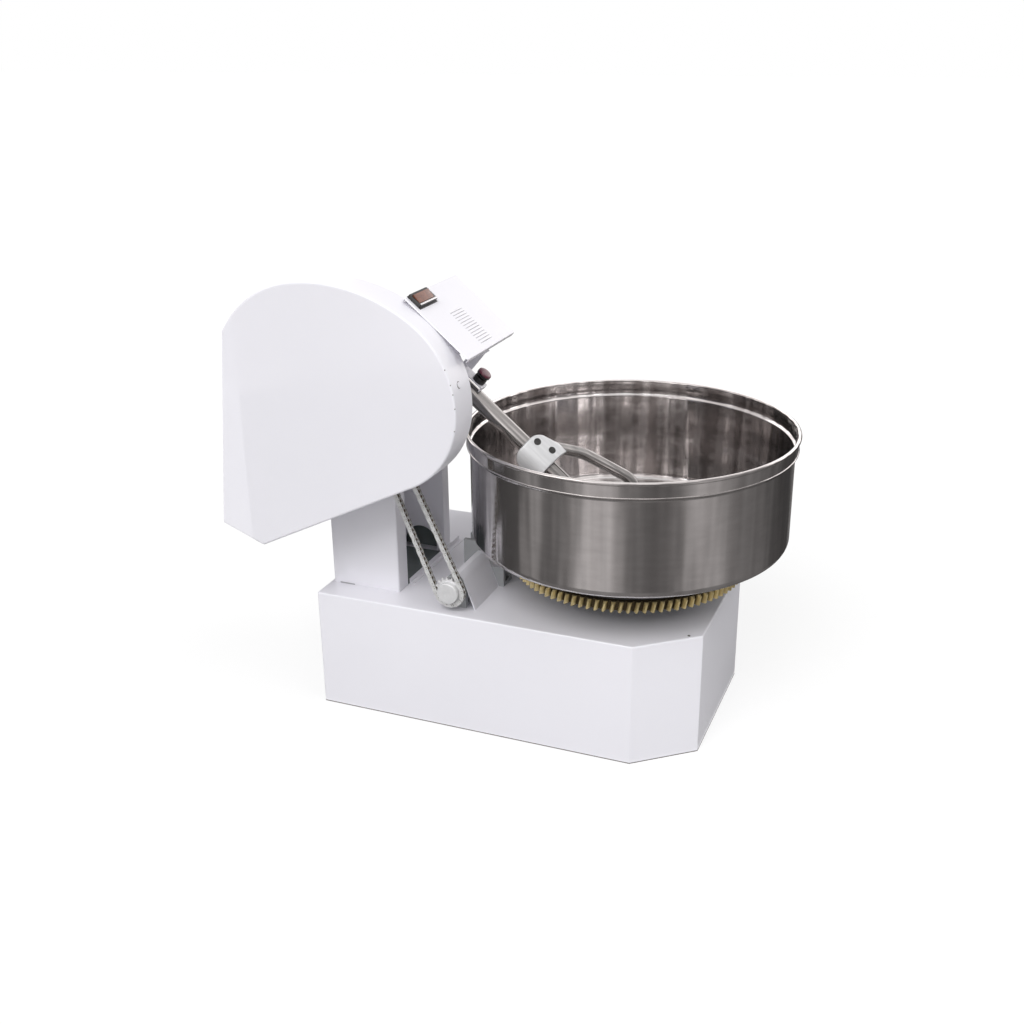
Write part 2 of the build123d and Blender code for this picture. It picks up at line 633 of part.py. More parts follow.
# Column and pedestal
def build_column():
    def post(y0, y1):
        tube = box(COLUMN_LEFT, COLUMN_RIGHT, y0, y1, BASE_HEIGHT, COLUMN_TOP)
        return tube - box(COLUMN_LEFT + COLUMN_WALL, COLUMN_RIGHT - COLUMN_WALL, y0 + COLUMN_WALL,
                          y1 - COLUMN_WALL, 0, COLUMN_TOP * 2)

    save("column_front_post", post(*FRONT_POST))
    arch_radius = 57.5
    arch_x = COLUMN_RIGHT - 29 - arch_radius
    arch_spring = BASE_HEIGHT + 25.5
    arch_y = (REAR_POST[0] - 1, REAR_POST[0] + COLUMN_WALL + 1)
    rear = post(*REAR_POST)
    rear -= box(arch_x - arch_radius, arch_x + arch_radius, *arch_y, BASE_HEIGHT - 1, arch_spring)
    rear -= rod_y(arch_radius, arch_x, arch_spring, *arch_y)
    save("column_rear_post", rear)
    save("column_back_panel", box(COLUMN_LEFT, COLUMN_LEFT + COLUMN_WALL, FRONT_POST[1], REAR_POST[0],
                                  BASE_HEIGHT, COLUMN_TOP))
    strip = box(COLUMN_RIGHT, COLUMN_RIGHT + 3, FRONT_POST[1] + 6, REAR_POST[1] + 66,
                BASE_HEIGHT, BASE_HEIGHT + 17)
    strip += box(COLUMN_RIGHT, COLUMN_RIGHT + 17, FRONT_POST[1] + 6, REAR_POST[1] + 66,
                 BASE_HEIGHT, BASE_HEIGHT + 3)
    save("column_foot_strip", strip)
    save("column_top_plate", box(COLUMN_LEFT, COLUMN_RIGHT, FRONT_POST[0], REAR_POST[1],
                                 COLUMN_TOP, COLUMN_TOP + TOP_PLATE))

    low = head_xz(WHEEL_S + FOOT_REACH, FOOT_BOTTOM)
    high = head_xz(WHEEL_S - FOOT_REACH, FOOT_BOTTOM)
    face = outline([(COLUMN_LEFT, COLUMN_TOP + TOP_PLATE), (COLUMN_RIGHT, COLUMN_TOP + TOP_PLATE), low, high])
    face -= offset(face, -12, kind=Kind.INTERSECTION)
    save("head_pedestal", prism_y(face, HEAD_Y - HEAD_HALF_WIDTH + 10, HEAD_Y + HEAD_HALF_WIDTH))


# Head housing with bearings, in the head frame
BEARING_RADIUS = 40.0
BEARING_BOSS = 22.0
MAIN_BEARING = 45.0
MAIN_RADIUS = 22.5
MAIN_FRONT_RADIUS = 17.0
MAIN_LOCAL = (WHEEL_S, -HEAD_CENTRES)


def build_head():
    inner_half = HEAD_HALF_WIDTH - HEAD_WALL
    worm_top = WORM_CLEAR - HEAD_CENTRES
    body = box(HEAD_BACK, HEAD_FRONT, -HEAD_TOP, HEAD_TOP, worm_top, HEAD_TOP)
    body += box(WHEEL_S - WORM_HALF, WHEEL_S + WORM_HALF, -HEAD_HALF_WIDTH, HEAD_HALF_WIDTH,
                HEAD_BOTTOM, worm_top + CHAMBER_WALL)
    body += rod_x(NOSE_RADIUS, 0, 0, HEAD_FRONT, NOSE_END)
    body += rod_x(BEARING_RADIUS + 10, 0, 0, HEAD_BACK - BEARING_BOSS, HEAD_BACK)
    body -= rod_x(WHEEL_CLEAR, 0, 0, WHEEL_S - WHEEL_HALF, WHEEL_S + WHEEL_HALF)
    body -= box(WHEEL_S - WORM_CLEAR, WHEEL_S + WORM_CLEAR, -inner_half, inner_half,
                HEAD_BOTTOM - 1, worm_top)
    body -= rod_x(SHAFT_RADIUS + 3, 0, 0, WHEEL_S, NOSE_END + 1)
    body -= rod_x(BEARING_RADIUS, 0, 0, NOSE_END - 40, NOSE_END + 1)
    body -= rod_x(BEARING_RADIUS, 0, 0, HEAD_BACK - BEARING_BOSS + 6, WHEEL_S)
    body -= rod_y(MAIN_BEARING, *MAIN_LOCAL, -HEAD_HALF_WIDTH - 1, HEAD_HALF_WIDTH + 1)
    save("head_housing", HEAD * body)
    save("head_foot_plate", HEAD * box(WHEEL_S - FOOT_REACH, WHEEL_S + FOOT_REACH, -HEAD_HALF_WIDTH + 10,
                                       HEAD_HALF_WIDTH, FOOT_BOTTOM, HEAD_BOTTOM))

    nose = ring_x(BEARING_RADIUS - SEAT_GAP, SHAFT_RADIUS + RUNNING_GAP, 0, 0, NOSE_END - 40, NOSE_END)
    rear = ring_x(BEARING_RADIUS - SEAT_GAP, SHAFT_RADIUS + RUNNING_GAP, 0, 0,
                  HEAD_BACK - BEARING_BOSS + 6, HEAD_BACK + CHAMBER_WALL)
    main_rings = [ring_y(MAIN_BEARING - SEAT_GAP, MAIN_RADIUS + RUNNING_GAP, MAIN_X, MAIN_Z, y, y + HEAD_WALL)
                  for y in (HEAD_Y - HEAD_HALF_WIDTH, HEAD_Y + inner_half)]
    save("head_bearings", HEAD * nose, HEAD * rear, *main_rings)
    front = HEAD_Y - HEAD_HALF_WIDTH
    back = HEAD_Y + HEAD_HALF_WIDTH
    front_cap = ring_y(58, MAIN_RADIUS + 1, MAIN_X, MAIN_Z, front - 7, front)
    rear_cap = rod_y(58, MAIN_X, MAIN_Z, back, back + 10)
    save("bearing_caps", front_cap, rear_cap)


def head_bolts():
    """Bolts of the head's foot plate."""
    places = [(WHEEL_S + side * (WORM_HALF + 20), row, HEAD_BOTTOM) for side in (-1, 1) for row in (-60, 60)]
    return [HEAD * bolt for bolt in hex_bolts(places, 24, 10)]


# Main shaft with drive pulley, sprocket and head worm
RIM_WIDTH = BELT_SPACING * (BELT_COUNT - 1) + 25
BELT_TOP_WIDTH = 16.5
BELT_HEIGHT = 10.5
BELT_RISE = 3.5
HOLE_CIRCLE = DRIVE_PULLEY_RADIUS - 110


def grooved_rim(pitch_radius, inner):
    """(radius, height) corners of a V-belt pulley rim centred on height zero."""
    top = pitch_radius + BELT_RISE + 1
    points = [(inner, -RIM_WIDTH / 2), (top, -RIM_WIDTH / 2)]
    for index in range(BELT_COUNT):
        middle = (index - (BELT_COUNT - 1) / 2) * BELT_SPACING
        half = BELT_TOP_WIDTH / 2 + 0.8
        low_half = half - 4.4
        depth = BELT_HEIGHT + 2.5
        points += [(top, middle - half), (top - depth, middle - low_half)]
        points += [(top - depth, middle + low_half), (top, middle + half)]
    return points + [(top, RIM_WIDTH / 2), (inner, RIM_WIDTH / 2)]


def build_main_shaft():
    shaft_end = HEAD_Y + HEAD_HALF_WIDTH - 2
    shaft = rod_y(MAIN_RADIUS, MAIN_X, MAIN_Z, HEAD_Y - HEAD_HALF_WIDTH - 8, shaft_end)
    shaft += rod_y(MAIN_FRONT_RADIUS, MAIN_X, MAIN_Z, BELT_Y - RIM_WIDTH / 2, HEAD_Y - HEAD_HALF_WIDTH)
    save("main_shaft", shaft)
    to_main = Pos(MAIN_X, BELT_Y, MAIN_Z) * Rot(90, 0, 0)
    rim = to_main * turned(grooved_rim(DRIVE_PULLEY_RADIUS, DRIVE_PULLEY_RADIUS - 24))
    web = rod_y(DRIVE_PULLEY_RADIUS - 20, MAIN_X, MAIN_Z, BELT_Y - 8, BELT_Y + 8)
    hub = rod_y(38, MAIN_X, MAIN_Z, BELT_Y - RIM_WIDTH / 2, CHAIN_Y - 15)
    hub += rod_y(20, MAIN_X, MAIN_Z, CHAIN_Y - 15, CHAIN_Y - 4.6)
    for turn in range(6):
        angle = math.pi * turn / 3
        x = MAIN_X + HOLE_CIRCLE * math.cos(angle)
        z = MAIN_Z + HOLE_CIRCLE * math.sin(angle)
        web -= rod_y(45, x, z, BELT_Y - 9, BELT_Y + 9)
    save("drive_pulley", rim + web + hub - rod_y(MAIN_FRONT_RADIUS + SEAT_GAP, MAIN_X, MAIN_Z, -600, 0))
    disc = upright(MAIN_X, CHAIN_Y, MAIN_Z) * extrude(sprocket_face(UPPER_TEETH, UPPER_GAP), 4.55, both=True)
    save("drive_sprocket", disc - rod_y(MAIN_FRONT_RADIUS + SEAT_GAP, MAIN_X, MAIN_Z, -600, 0))
    thread = worm(HEAD_WORM_STARTS, WHEEL_MODULE, HEAD_WORM_RADIUS, HEAD_WORM_LENGTH,
                  MAIN_RADIUS + SEAT_GAP, -90)
    save("head_worm", HEAD * Pos(WHEEL_S, 0, -HEAD_CENTRES) * Rot(-90, 0, 0) * thread)


# Fork shaft, wheel, saddle and tines; the tine course is (along the shaft, out from it)
SHAFT_END = FORK_REACH - 200.0
SADDLE_END = FORK_REACH - 281.0
SADDLE_START = SADDLE_END - SADDLE_LENGTH
TINE_COURSE = (
    (FORK_REACH - 335.0, SHAFT_RADIUS + TINE_RADIUS + 1.8),
    (FORK_REACH - 247.0, 100.5),
    (FORK_REACH - 85.0, 146.5),
    (FORK_REACH, 80.0),
)
TINE_BENDS = (150.0, 75.0)
SADDLE_HALF = (50.0, 84.0)
SADDLE_SHEET = 11.0
SADDLE_BOLTS = ((SADDLE_START + 22.0, 29.0), (SADDLE_START + 69.0, 41.0))
BOLT_SEAT = SADDLE_CREST - 16.0


def tine(side, radius):
    """Round bar with a rounded tip, bent out from the saddle and in again over the bowl floor."""
    first, bend, turn, tip = [Vector(s, side * w) for s, w in TINE_COURSE]
    course = FilletPolyline(first, bend, turn, tip, radius=TINE_BENDS)
    start = Plane(origin=course @ 0, z_dir=course % 0)
    return sweep(start * Circle(radius), path=course) + Pos(*(course @ 1)) * Sphere(radius)


def saddle():
    """Curved plate over the shaft with a sleeve round it, notched for the tines and two bolts."""
    start_half, end_half = SADDLE_HALF
    plan = outline([
        (SADDLE_START, -start_half),
        (SADDLE_END, -end_half),
        (SADDLE_END, -end_half + 24),
        (SADDLE_END - 9, -30),
        (SADDLE_END - 9, 30),
        (SADDLE_END, end_half - 24),
        (SADDLE_END, end_half),
        (SADDLE_START, start_half),
    ])
    depth = SADDLE_CREST - SADDLE_ARC
    body = ring_x(SADDLE_ARC, SADDLE_ARC - SADDLE_SHEET, 0, depth, SADDLE_START, SADDLE_END)
    body = body & (Pos(0, 0, -60) * extrude(plan, 160))
    body += rod_x(SADDLE_CREST - 8, 0, 0, SADDLE_START + 3, SADDLE_END - 12)
    body -= rod_x(SHAFT_RADIUS + SEAT_GAP, 0, 0, SADDLE_START - 1, SADDLE_END + 1)
    for side in (-1, 1):
        body -= tine(side, TINE_RADIUS + SEAT_GAP)
    for s, w in SADDLE_BOLTS:
        body -= rod_z(8, s, w, BOLT_SEAT, SADDLE_CREST + 1)
    return body


def build_fork():
    shaft = rod_x(SHAFT_RADIUS, 0, 0, HEAD_BACK - BEARING_BOSS + 8, SHAFT_END)
    save("fork_shaft", HEAD * chamfer(shaft.edges().sort_by(Axis.X)[-1], 4))
    lead_angle = math.degrees(math.atan(HEAD_WORM_STARTS * WHEEL_MODULE / 2 / HEAD_WORM_RADIUS))
    wheel = helical_gear(WHEEL_TEETH, WHEEL_MODULE, WHEEL_WIDTH, lead_angle, 180 / WHEEL_TEETH)
    wheel = Pos(WHEEL_S, 0, 0) * Rot(0, 90, 0) * wheel
    save("worm_wheel", HEAD * (wheel - rod_x(SHAFT_RADIUS + SEAT_GAP, 0, 0, -900, 900)))
    save("fork_saddle", FORK * saddle())
    save("fork_tines", *[FORK * tine(side, TINE_RADIUS) for side in (-1, 1)])
    head = extrude(Circle(7.5) - RegularPolygon(4, 6), 3) + Pos(0, 0, -2) * extrude(Circle(7.5), 2)
    save("saddle_bolts", *[FORK * Pos(s, w, BOLT_SEAT + 2) * head for s, w in SADDLE_BOLTS])


# Belt guard with its back plate; its corners and stand-offs are placed from the main shaft
GUARD_LOW_CORNER = (MAIN_X - 412.1, MAIN_Z - 461.7)
GUARD_BOTTOM_CORNER = (MAIN_X - 273.7, MAIN_Z - 516.1)
STANDOFFS = tuple((MAIN_X + x, MAIN_Z + z) for x, z in ((-115, -375), (-115, -255), (10, -305)))


def guard_lines():
    """The guard's outline in order: low edge, bottom edge, the arcs and the straight left edge."""
    angle = math.radians(GUARD_BOTTOM_ANGLE)
    tangent = Vector(math.cos(angle), math.sin(angle))
    end = Vector(*GUARD_BOTTOM_CORNER) + tangent * GUARD_BOTTOM_LENGTH
    lines = [Line(GUARD_LOW_CORNER, GUARD_BOTTOM_CORNER), Line(GUARD_BOTTOM_CORNER, end)]
    for radius, sweep_angle in GUARD_ARCS:
        arc = JernArc(end, tangent, radius, sweep_angle)
        lines.append(arc)
        end = arc @ 1
        tangent = arc % 1
    return lines + [Line(end, GUARD_LOW_CORNER)]


def guard_face():
    return make_face([edge for line in guard_lines() for edge in line.edges()])


def build_guard():
    face = guard_face()
    inner = offset(face, -GUARD_SHEET, kind=Kind.INTERSECTION)
    pan = prism_y(face, GUARD_FACE_Y, GUARD_BACK) - prism_y(inner, GUARD_FACE_Y + GUARD_SHEET, GUARD_BACK + 1)
    save("belt_guard", pan)
    plate_start = GUARD_BACK - 3
    plate = prism_y(offset(face, -GUARD_SHEET - 0.2, kind=Kind.INTERSECTION), plate_start, GUARD_BACK)
    plate -= rod_y(60, MAIN_X, MAIN_Z, plate_start - 1, GUARD_BACK + 1)
    plate -= rod_y(55, MOTOR_X, MOTOR_Z, plate_start - 1, GUARD_BACK + 1)
    save("guard_back_plate", plate)
    save("guard_standoffs", *[rod_y(16, x, z, GUARD_BACK, FRONT_POST[0]) for x, z in STANDOFFS])


def rim_screws():
    """A plug in the guard's rim, and cap screws through the rim into the back plate."""
    low, bottom, _, nose, *_, left = guard_lines()
    screws = []
    for line, share, y, radius in (
        (nose, 0.327, GUARD_FACE_Y + 45, 8.5),
        (low, 0.5, GUARD_BACK - 9, 5.0),
        (bottom, 0.5, GUARD_BACK - 9, 5.0),
        (left, 0.5, GUARD_BACK - 9, 5.0),
    ):
        place = line @ share
        outward = Vector(0, 0, 1).cross(line % share) * -1
        seat = Plane(origin=(place.X, y, place.Y), z_dir=(outward.X, 0, outward.Y)).location
        screws.append(seat * Pos(0, 0, 1.5) * Cylinder(radius, 3))
    return screws


# Belts, motor and its pulley
MOTOR_FRONT = GUARD_BACK + 14
MOTOR_LENGTH = 210.0
MOTOR_BACK = MOTOR_FRONT + 25 + MOTOR_LENGTH
MOTOR_SHAFT_RADIUS = 14.0
COWL_LENGTH = 70.0


def belt(y):
    """One V-belt round both pulleys at the height of its pitch line."""
    big = Vector(MAIN_X, y, MAIN_Z)
    small = Vector(MOTOR_X, y, MOTOR_Z)
    along = (small - big).normalized()
    across = Vector(0, 1, 0).cross(along)
    lift = (DRIVE_PULLEY_RADIUS - MOTOR_PULLEY_RADIUS) / (small - big).length
    reach = math.sqrt(1 - lift * lift)
    first = along * lift + across * reach
    second = along * lift - across * reach
    points = [big + first * DRIVE_PULLEY_RADIUS, small + first * MOTOR_PULLEY_RADIUS,
              small + second * MOTOR_PULLEY_RADIUS, big + second * DRIVE_PULLEY_RADIUS]
    edges = [
        Edge.make_line(points[0], points[1]),
        Edge.make_three_point_arc(points[1], small + along * MOTOR_PULLEY_RADIUS, points[2]),
        Edge.make_line(points[2], points[3]),
        Edge.make_three_point_arc(points[3], big - along * DRIVE_PULLEY_RADIUS, points[0]),
    ]
    start = Plane(origin=points[0], x_dir=first, z_dir=points[1] - points[0])
    low = BELT_RISE - BELT_HEIGHT
    half = BELT_TOP_WIDTH / 2
    section = outline([(low, -half + 3.6), (BELT_RISE, -half), (BELT_RISE, half), (low, half - 3.6)])
    return sweep(start * section, path=Wire(edges))


def build_belt_drive():
    rows = [BELT_Y + (index - (BELT_COUNT - 1) / 2) * BELT_SPACING for index in range(BELT_COUNT)]
    save("v_belts", *[belt(row) for row in rows])
    to_motor = Pos(MOTOR_X, BELT_Y, MOTOR_Z) * Rot(90, 0, 0)
    pulley = to_motor * turned(grooved_rim(MOTOR_PULLEY_RADIUS, MOTOR_SHAFT_RADIUS + SEAT_GAP))
    save("motor_pulley", pulley)


def build_motor():
    def ring(outer, inner, y0, y1):
        return ring_y(outer, inner, MOTOR_X, MOTOR_Z, y0, y1)

    frame_start = MOTOR_FRONT + 25
    fin = outline([(MOTOR_RADIUS - 4, -1.6), (MOTOR_RADIUS + 10, -1.2), (MOTOR_RADIUS + 10, 1.2),
                   (MOTOR_RADIUS - 4, 1.6)])
    body = ring(MOTOR_RADIUS, MOTOR_RADIUS - 8, frame_start, MOTOR_BACK)
    for index in (*range(4, 6), *range(13, 33)):
        place = upright(MOTOR_X, MOTOR_BACK - 8, MOTOR_Z) * Rot(0, 0, index * 10)
        body += place * extrude(fin, MOTOR_LENGTH - 16)
    plate_face = COLUMN_LEFT - MOTOR_PLATE
    for side in (-1, 1):
        feet = box(MOTOR_X + 40, plate_face, frame_start + 20, MOTOR_BACK - 20,
                   MOTOR_Z + side * 60 - 10, MOTOR_Z + side * 60 + 10)
        body += feet - rod_y(MOTOR_RADIUS - 4, MOTOR_X, MOTOR_Z, MOTOR_FRONT, MOTOR_BACK)
    shields = [ring(MOTOR_RADIUS + 8, MOTOR_SHAFT_RADIUS + RUNNING_GAP, MOTOR_FRONT, frame_start),
               ring(MOTOR_RADIUS + 8, MOTOR_SHAFT_RADIUS + RUNNING_GAP, MOTOR_BACK, MOTOR_BACK + 20)]
    save("motor_housing", body, *shields)
    cowl_start = MOTOR_BACK + 20
    cowl = ring(MOTOR_RADIUS + 8, MOTOR_RADIUS + 5, cowl_start, cowl_start + COWL_LENGTH)
    grille = rod_y(MOTOR_RADIUS + 8, MOTOR_X, MOTOR_Z, cowl_start + COWL_LENGTH - 3, cowl_start + COWL_LENGTH)
    for radius in (28, 48, 68):
        for index in range(radius // 4):
            angle = 2 * math.pi * index / (radius // 4)
            grille -= rod_y(6, MOTOR_X + radius * math.cos(angle), MOTOR_Z + radius * math.sin(angle),
                            cowl_start, cowl_start + COWL_LENGTH + 1)
    save("fan_cowl", cowl + grille)
    rotor = rod_y(MOTOR_SHAFT_RADIUS, MOTOR_X, MOTOR_Z, BELT_Y - RIM_WIDTH / 2, cowl_start + 40)
    rotor += rod_y(MOTOR_RADIUS - 20, MOTOR_X, MOTOR_Z, frame_start + 30, MOTOR_BACK - 30)
    save("motor_rotor", rotor)
    fan = ring(26, MOTOR_SHAFT_RADIUS + SEAT_GAP, cowl_start + 8, cowl_start + 38)
    for index in range(8):
        blade = box(MOTOR_X + 22, MOTOR_X + MOTOR_RADIUS - 12, cowl_start + 10, cowl_start + 36,
                    MOTOR_Z - 1.5, MOTOR_Z + 1.5)
        fan += Pos(MOTOR_X, 0, MOTOR_Z) * Rot(0, index * 45, 0) * Pos(-MOTOR_X, 0, -MOTOR_Z) * blade
    save("motor_fan", fan)
    middle = (frame_start + MOTOR_BACK) / 2
    top = MOTOR_Z + MOTOR_RADIUS
    terminal = box(MOTOR_X - 55, MOTOR_X + 55, middle - 50, middle + 50, top - 8, top + 55)
    terminal -= box(MOTOR_X - 51, MOTOR_X + 51, middle - 46, middle + 46, top + 2, top + 51)
    save("terminal_box", terminal - rod_y(MOTOR_RADIUS + 0.1, MOTOR_X, MOTOR_Z, -900, 900))
    save("motor_plate", box(plate_face, COLUMN_LEFT, FRONT_POST[0], MOTOR_BACK + 40,
                            MOTOR_Z - 110, MOTOR_Z + 110))


def motor_bolts():
    places = [(COLUMN_LEFT - MOTOR_PLATE, y, MOTOR_Z + side * 95)
              for y in (FRONT_POST[0] + 25, MOTOR_BACK + 15) for side in (-1, 1)]
    return hex_bolts(places, 19, 9, Rot(0, -90, 0))


# Control box, switch and stop button, in the head frame
LID_SKIRT = 14.0
SWITCH = (BOX_START + 1.5, BOX_START + 47.5, LID_FRONT + 10.0, LID_FRONT + 124.0)
LOUVRES = (BOX_FRONT + 82.5, BOX_FRONT + 162.5)
LOUVRE_SPAN = 119.0
TRAY_END = BOX_END - 40.0
SWITCH_RISE = 13.0
SWITCH_BORDER = 12.0
ROCKER_GAP = 0.3
STOP_S = -21.0
STOP_PLATE = SHAFT_RADIUS + 19.0
STOP_COLLAR = STOP_PLATE + 18.0
STOP_TRAVEL = 5.0
STOP_TOP = STOP_COLLAR + 19.0


def build_controls():
    inset = 3.0
    wall = inset + THIN_SHEET
    tray = box(BOX_START + inset, TRAY_END, BOX_FRONT + inset, BOX_REAR - inset,
               BOX_BOTTOM, BOX_TOP - THIN_SHEET)
    tray -= box(BOX_START + wall, TRAY_END - THIN_SHEET, BOX_FRONT + wall, BOX_REAR - wall,
                BOX_BOTTOM + THIN_SHEET, BOX_TOP)
    save("control_box", HEAD * tray)

    lid = box(BOX_START, BOX_END, LID_FRONT, BOX_REAR, BOX_TOP - LID_SKIRT, BOX_TOP)
    for front, rear in ((BOX_FRONT + THIN_SHEET, BOX_REAR - THIN_SHEET), (LID_FRONT - 1, BOX_FRONT)):
        lid -= box(BOX_START + THIN_SHEET, BOX_END - THIN_SHEET, front, rear,
                   BOX_TOP - LID_SKIRT - 1, BOX_TOP - THIN_SHEET)
    pitch = LOUVRE_SPAN / (LOUVRE_COUNT - 1)
    for index in range(LOUVRE_COUNT):
        s = BOX_END - 26 - index * pitch
        lid -= box(s - 1.5, s + 1.5, *LOUVRES, BOX_TOP - 5, BOX_TOP + 1)
    save("control_lid", HEAD * lid)

    tab = box(-90, -57, -3, 3, NOSE_RADIUS - 5, BOX_BOTTOM - 3)
    tab += box(TRAY_END - 20, -57, -30, 30, BOX_BOTTOM - 3, BOX_BOTTOM)
    tab -= rod_x(NOSE_RADIUS, 0, 0, -200, NOSE_END)
    tab -= box(NOSE_END, -50, -40, 40, 0, NOSE_RADIUS + 6)
    riser = box(HEAD_BACK + 4, HEAD_FRONT - 4, -70, 70, HEAD_TOP, BOX_BOTTOM)
    save("box_support", HEAD * tab, HEAD * riser)
    gland_place = (BOX_START + 60, BOX_BOTTOM + 14)
    gland_end = BOX_REAR - inset
    gland = rod_y(12, *gland_place, gland_end, gland_end + 22)
    gland -= rod_y(6, *gland_place, gland_end + 4, gland_end + 23)
    save("cable_gland", HEAD * gland)

    s0, s1, y0, y1 = SWITCH
    frame = box(s0, s1, y0, y1, BOX_TOP, BOX_TOP + SWITCH_RISE)
    window = (y0 + SWITCH_BORDER, y1 - SWITCH_BORDER)
    frame -= box(s0 + 7, s1 - 7, *window, BOX_TOP + 3, BOX_TOP + SWITCH_RISE + 1)
    save("switch_frame", HEAD * frame)
    middle = (s0 + s1) / 2
    half = (s1 - s0) / 2 - 8
    low = BOX_TOP + 8
    high = BOX_TOP + SWITCH_RISE + 7
    rocker = outline([(middle - half, low), (middle, low - 3), (middle + half, low),
                      (middle + half - 1.5, high - 6), (middle, high - 3), (middle - half + 1.5, high)])
    rocker = prism_y(rocker, window[0] + ROCKER_GAP, window[1] - ROCKER_GAP)
    save("switch_rocker", HEAD * rocker)

    bracket = box(NOSE_END, 3, -20, 20, STOP_PLATE - 4, STOP_PLATE)
    bracket += box(0, 3, -20, 20, SHAFT_RADIUS + 3, STOP_PLATE)
    bracket += box(NOSE_END, NOSE_END + 4, -20, 20, SHAFT_RADIUS + 4, STOP_PLATE)
    save("stop_bracket", HEAD * bracket)
    collar = ring_z(19, 9, STOP_S, 0, STOP_PLATE, STOP_COLLAR)
    save("stop_collar", HEAD * collar)
    cap_low = STOP_COLLAR + STOP_TRAVEL + 0.5
    cap = rod_z(8.5, STOP_S, 0, STOP_PLATE + STOP_TRAVEL + 1, cap_low)
    cap += rod_z(21, STOP_S, 0, cap_low, STOP_TOP)
    save("stop_cap", HEAD * fillet(cap.edges().group_by(Axis.Z)[-1], 5))


def lid_screws():
    """Screws through the lid's skirt into the box, two on each side."""
    z = BOX_TOP - LID_SKIRT / 2
    sides = ((BOX_FRONT - 2.5, BOX_FRONT), (BOX_REAR, BOX_REAR + 2.5))
    return [HEAD * rod_y(4, s, z, y0, y1) for s in (BOX_START + 40, TRAY_END - 20) for y0, y1 in sides]


def main():
    os.makedirs("parts", exist_ok=True)
    build_base()
    build_bowl()
    build_bowl_drive()
    build_hood()
    build_chain()
    build_column()
    build_head()
    build_main_shaft()
    build_fork()
    build_guard()
    build_belt_drive()
    build_motor()
    build_controls()
    save("machine_bolts", *pivot_bolts(), *bracket_bolts(), *head_bolts(), *motor_bolts())
    save("cover_screws", *rim_screws(), *lid_screws())


main()
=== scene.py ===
"""Fork dough mixer: soft-edged pieces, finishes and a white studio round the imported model.

Sizes are in millimetres in the model's own axes and become metres when a piece is placed.
"""
import json
import logging
import math
from dataclasses import dataclass, field, replace
from enum import Enum
from typing import Any

import bpy
import numpy as np
from mathutils import Matrix


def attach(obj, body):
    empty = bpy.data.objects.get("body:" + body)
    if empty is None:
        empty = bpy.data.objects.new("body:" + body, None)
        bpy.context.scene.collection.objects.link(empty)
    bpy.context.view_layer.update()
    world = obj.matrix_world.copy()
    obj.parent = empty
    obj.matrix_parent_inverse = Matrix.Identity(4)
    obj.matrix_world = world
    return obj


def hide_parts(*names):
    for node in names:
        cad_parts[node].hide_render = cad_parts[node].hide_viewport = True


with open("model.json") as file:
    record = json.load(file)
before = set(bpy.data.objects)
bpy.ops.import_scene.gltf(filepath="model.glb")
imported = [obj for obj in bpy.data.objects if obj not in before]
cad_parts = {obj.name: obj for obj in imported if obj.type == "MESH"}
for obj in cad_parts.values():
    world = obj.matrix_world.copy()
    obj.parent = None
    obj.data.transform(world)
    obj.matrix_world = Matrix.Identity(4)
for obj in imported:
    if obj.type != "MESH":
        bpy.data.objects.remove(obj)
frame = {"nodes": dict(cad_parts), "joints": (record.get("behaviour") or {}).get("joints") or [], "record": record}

Socket = bpy.types.NodeSocket
Pair = tuple[float, float]
Triple = tuple[float, float, float]
Profile = tuple[Pair, ...]

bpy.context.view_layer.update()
LOG = logging.getLogger("dough_mixer")
MM = 0.001
ZERO: Triple = (0.0, 0.0, 0.0)
UNIT: Pair = (0.0, 1.0)
SHARP_ANGLE = math.radians(38.0)
# Width of the flat strip beside each rounded rim, which keeps the shading even there
HOLD = 1.2


class Body(Enum):
    """The bodies that pieces ride on."""

    FRAME = "frame"
    BOWL = "bowl"
    FORK = "fork"
    DRIVE = "input_shaft"
    STOP = "stop_cap"
    ROCKER = "switch_rocker"


class Part(Enum):
    """Node groups that several finishes share."""

    MOTTLE = "mottle"
    TURNED = "turned_marks"
    STREAKS = "long_streaks"


def pivot(joint: str) -> np.ndarray:
    """Finds a joint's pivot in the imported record, in millimetres."""
    place = next(item["pos_m"] for item in frame["joints"] if item["name"] == joint)
    return np.array(place) / MM


def linked(name: str, data: bpy.types.ID) -> bpy.types.Object:
    """Makes an object and puts it into the scene.

    Args:
        name: The object's name.
        data: Its mesh, light or camera.

    Returns:
        The object.
    """
    made = bpy.data.objects.new(name, data)
    bpy.context.scene.collection.objects.link(made)
    return made


# Axes and outlines
@dataclass(frozen=True)
class Axes:
    """A right-handed set of axes with an origin, in millimetres."""

    origin: Triple
    x: Triple
    y: Triple
    z: Triple

    def world(self, points: np.ndarray) -> np.ndarray:
        """Places local points (u, v, w) at origin + u x + v y + w z, in metres."""
        return (np.array(self.origin) + points @ np.array([self.x, self.y, self.z])) * MM

    def moved(self, *place: float) -> "Axes":
        """The same directions from a local point (u, v, w)."""
        return replace(self, origin=tuple(self.world(np.array(place)) / MM))

    def rolled(self, angle: float) -> "Axes":
        """Turns the axes about x: the new y is y cos + z sin, the new z is z cos - y sin.

        Args:
            angle: The turn in radians.

        Returns:
            The turned axes.
        """
        y, z = np.array(self.y), np.array(self.z)
        cos, sin = math.cos(angle), math.sin(angle)
        return replace(self, y=tuple(y * cos + z * sin), z=tuple(z * cos - y * sin))


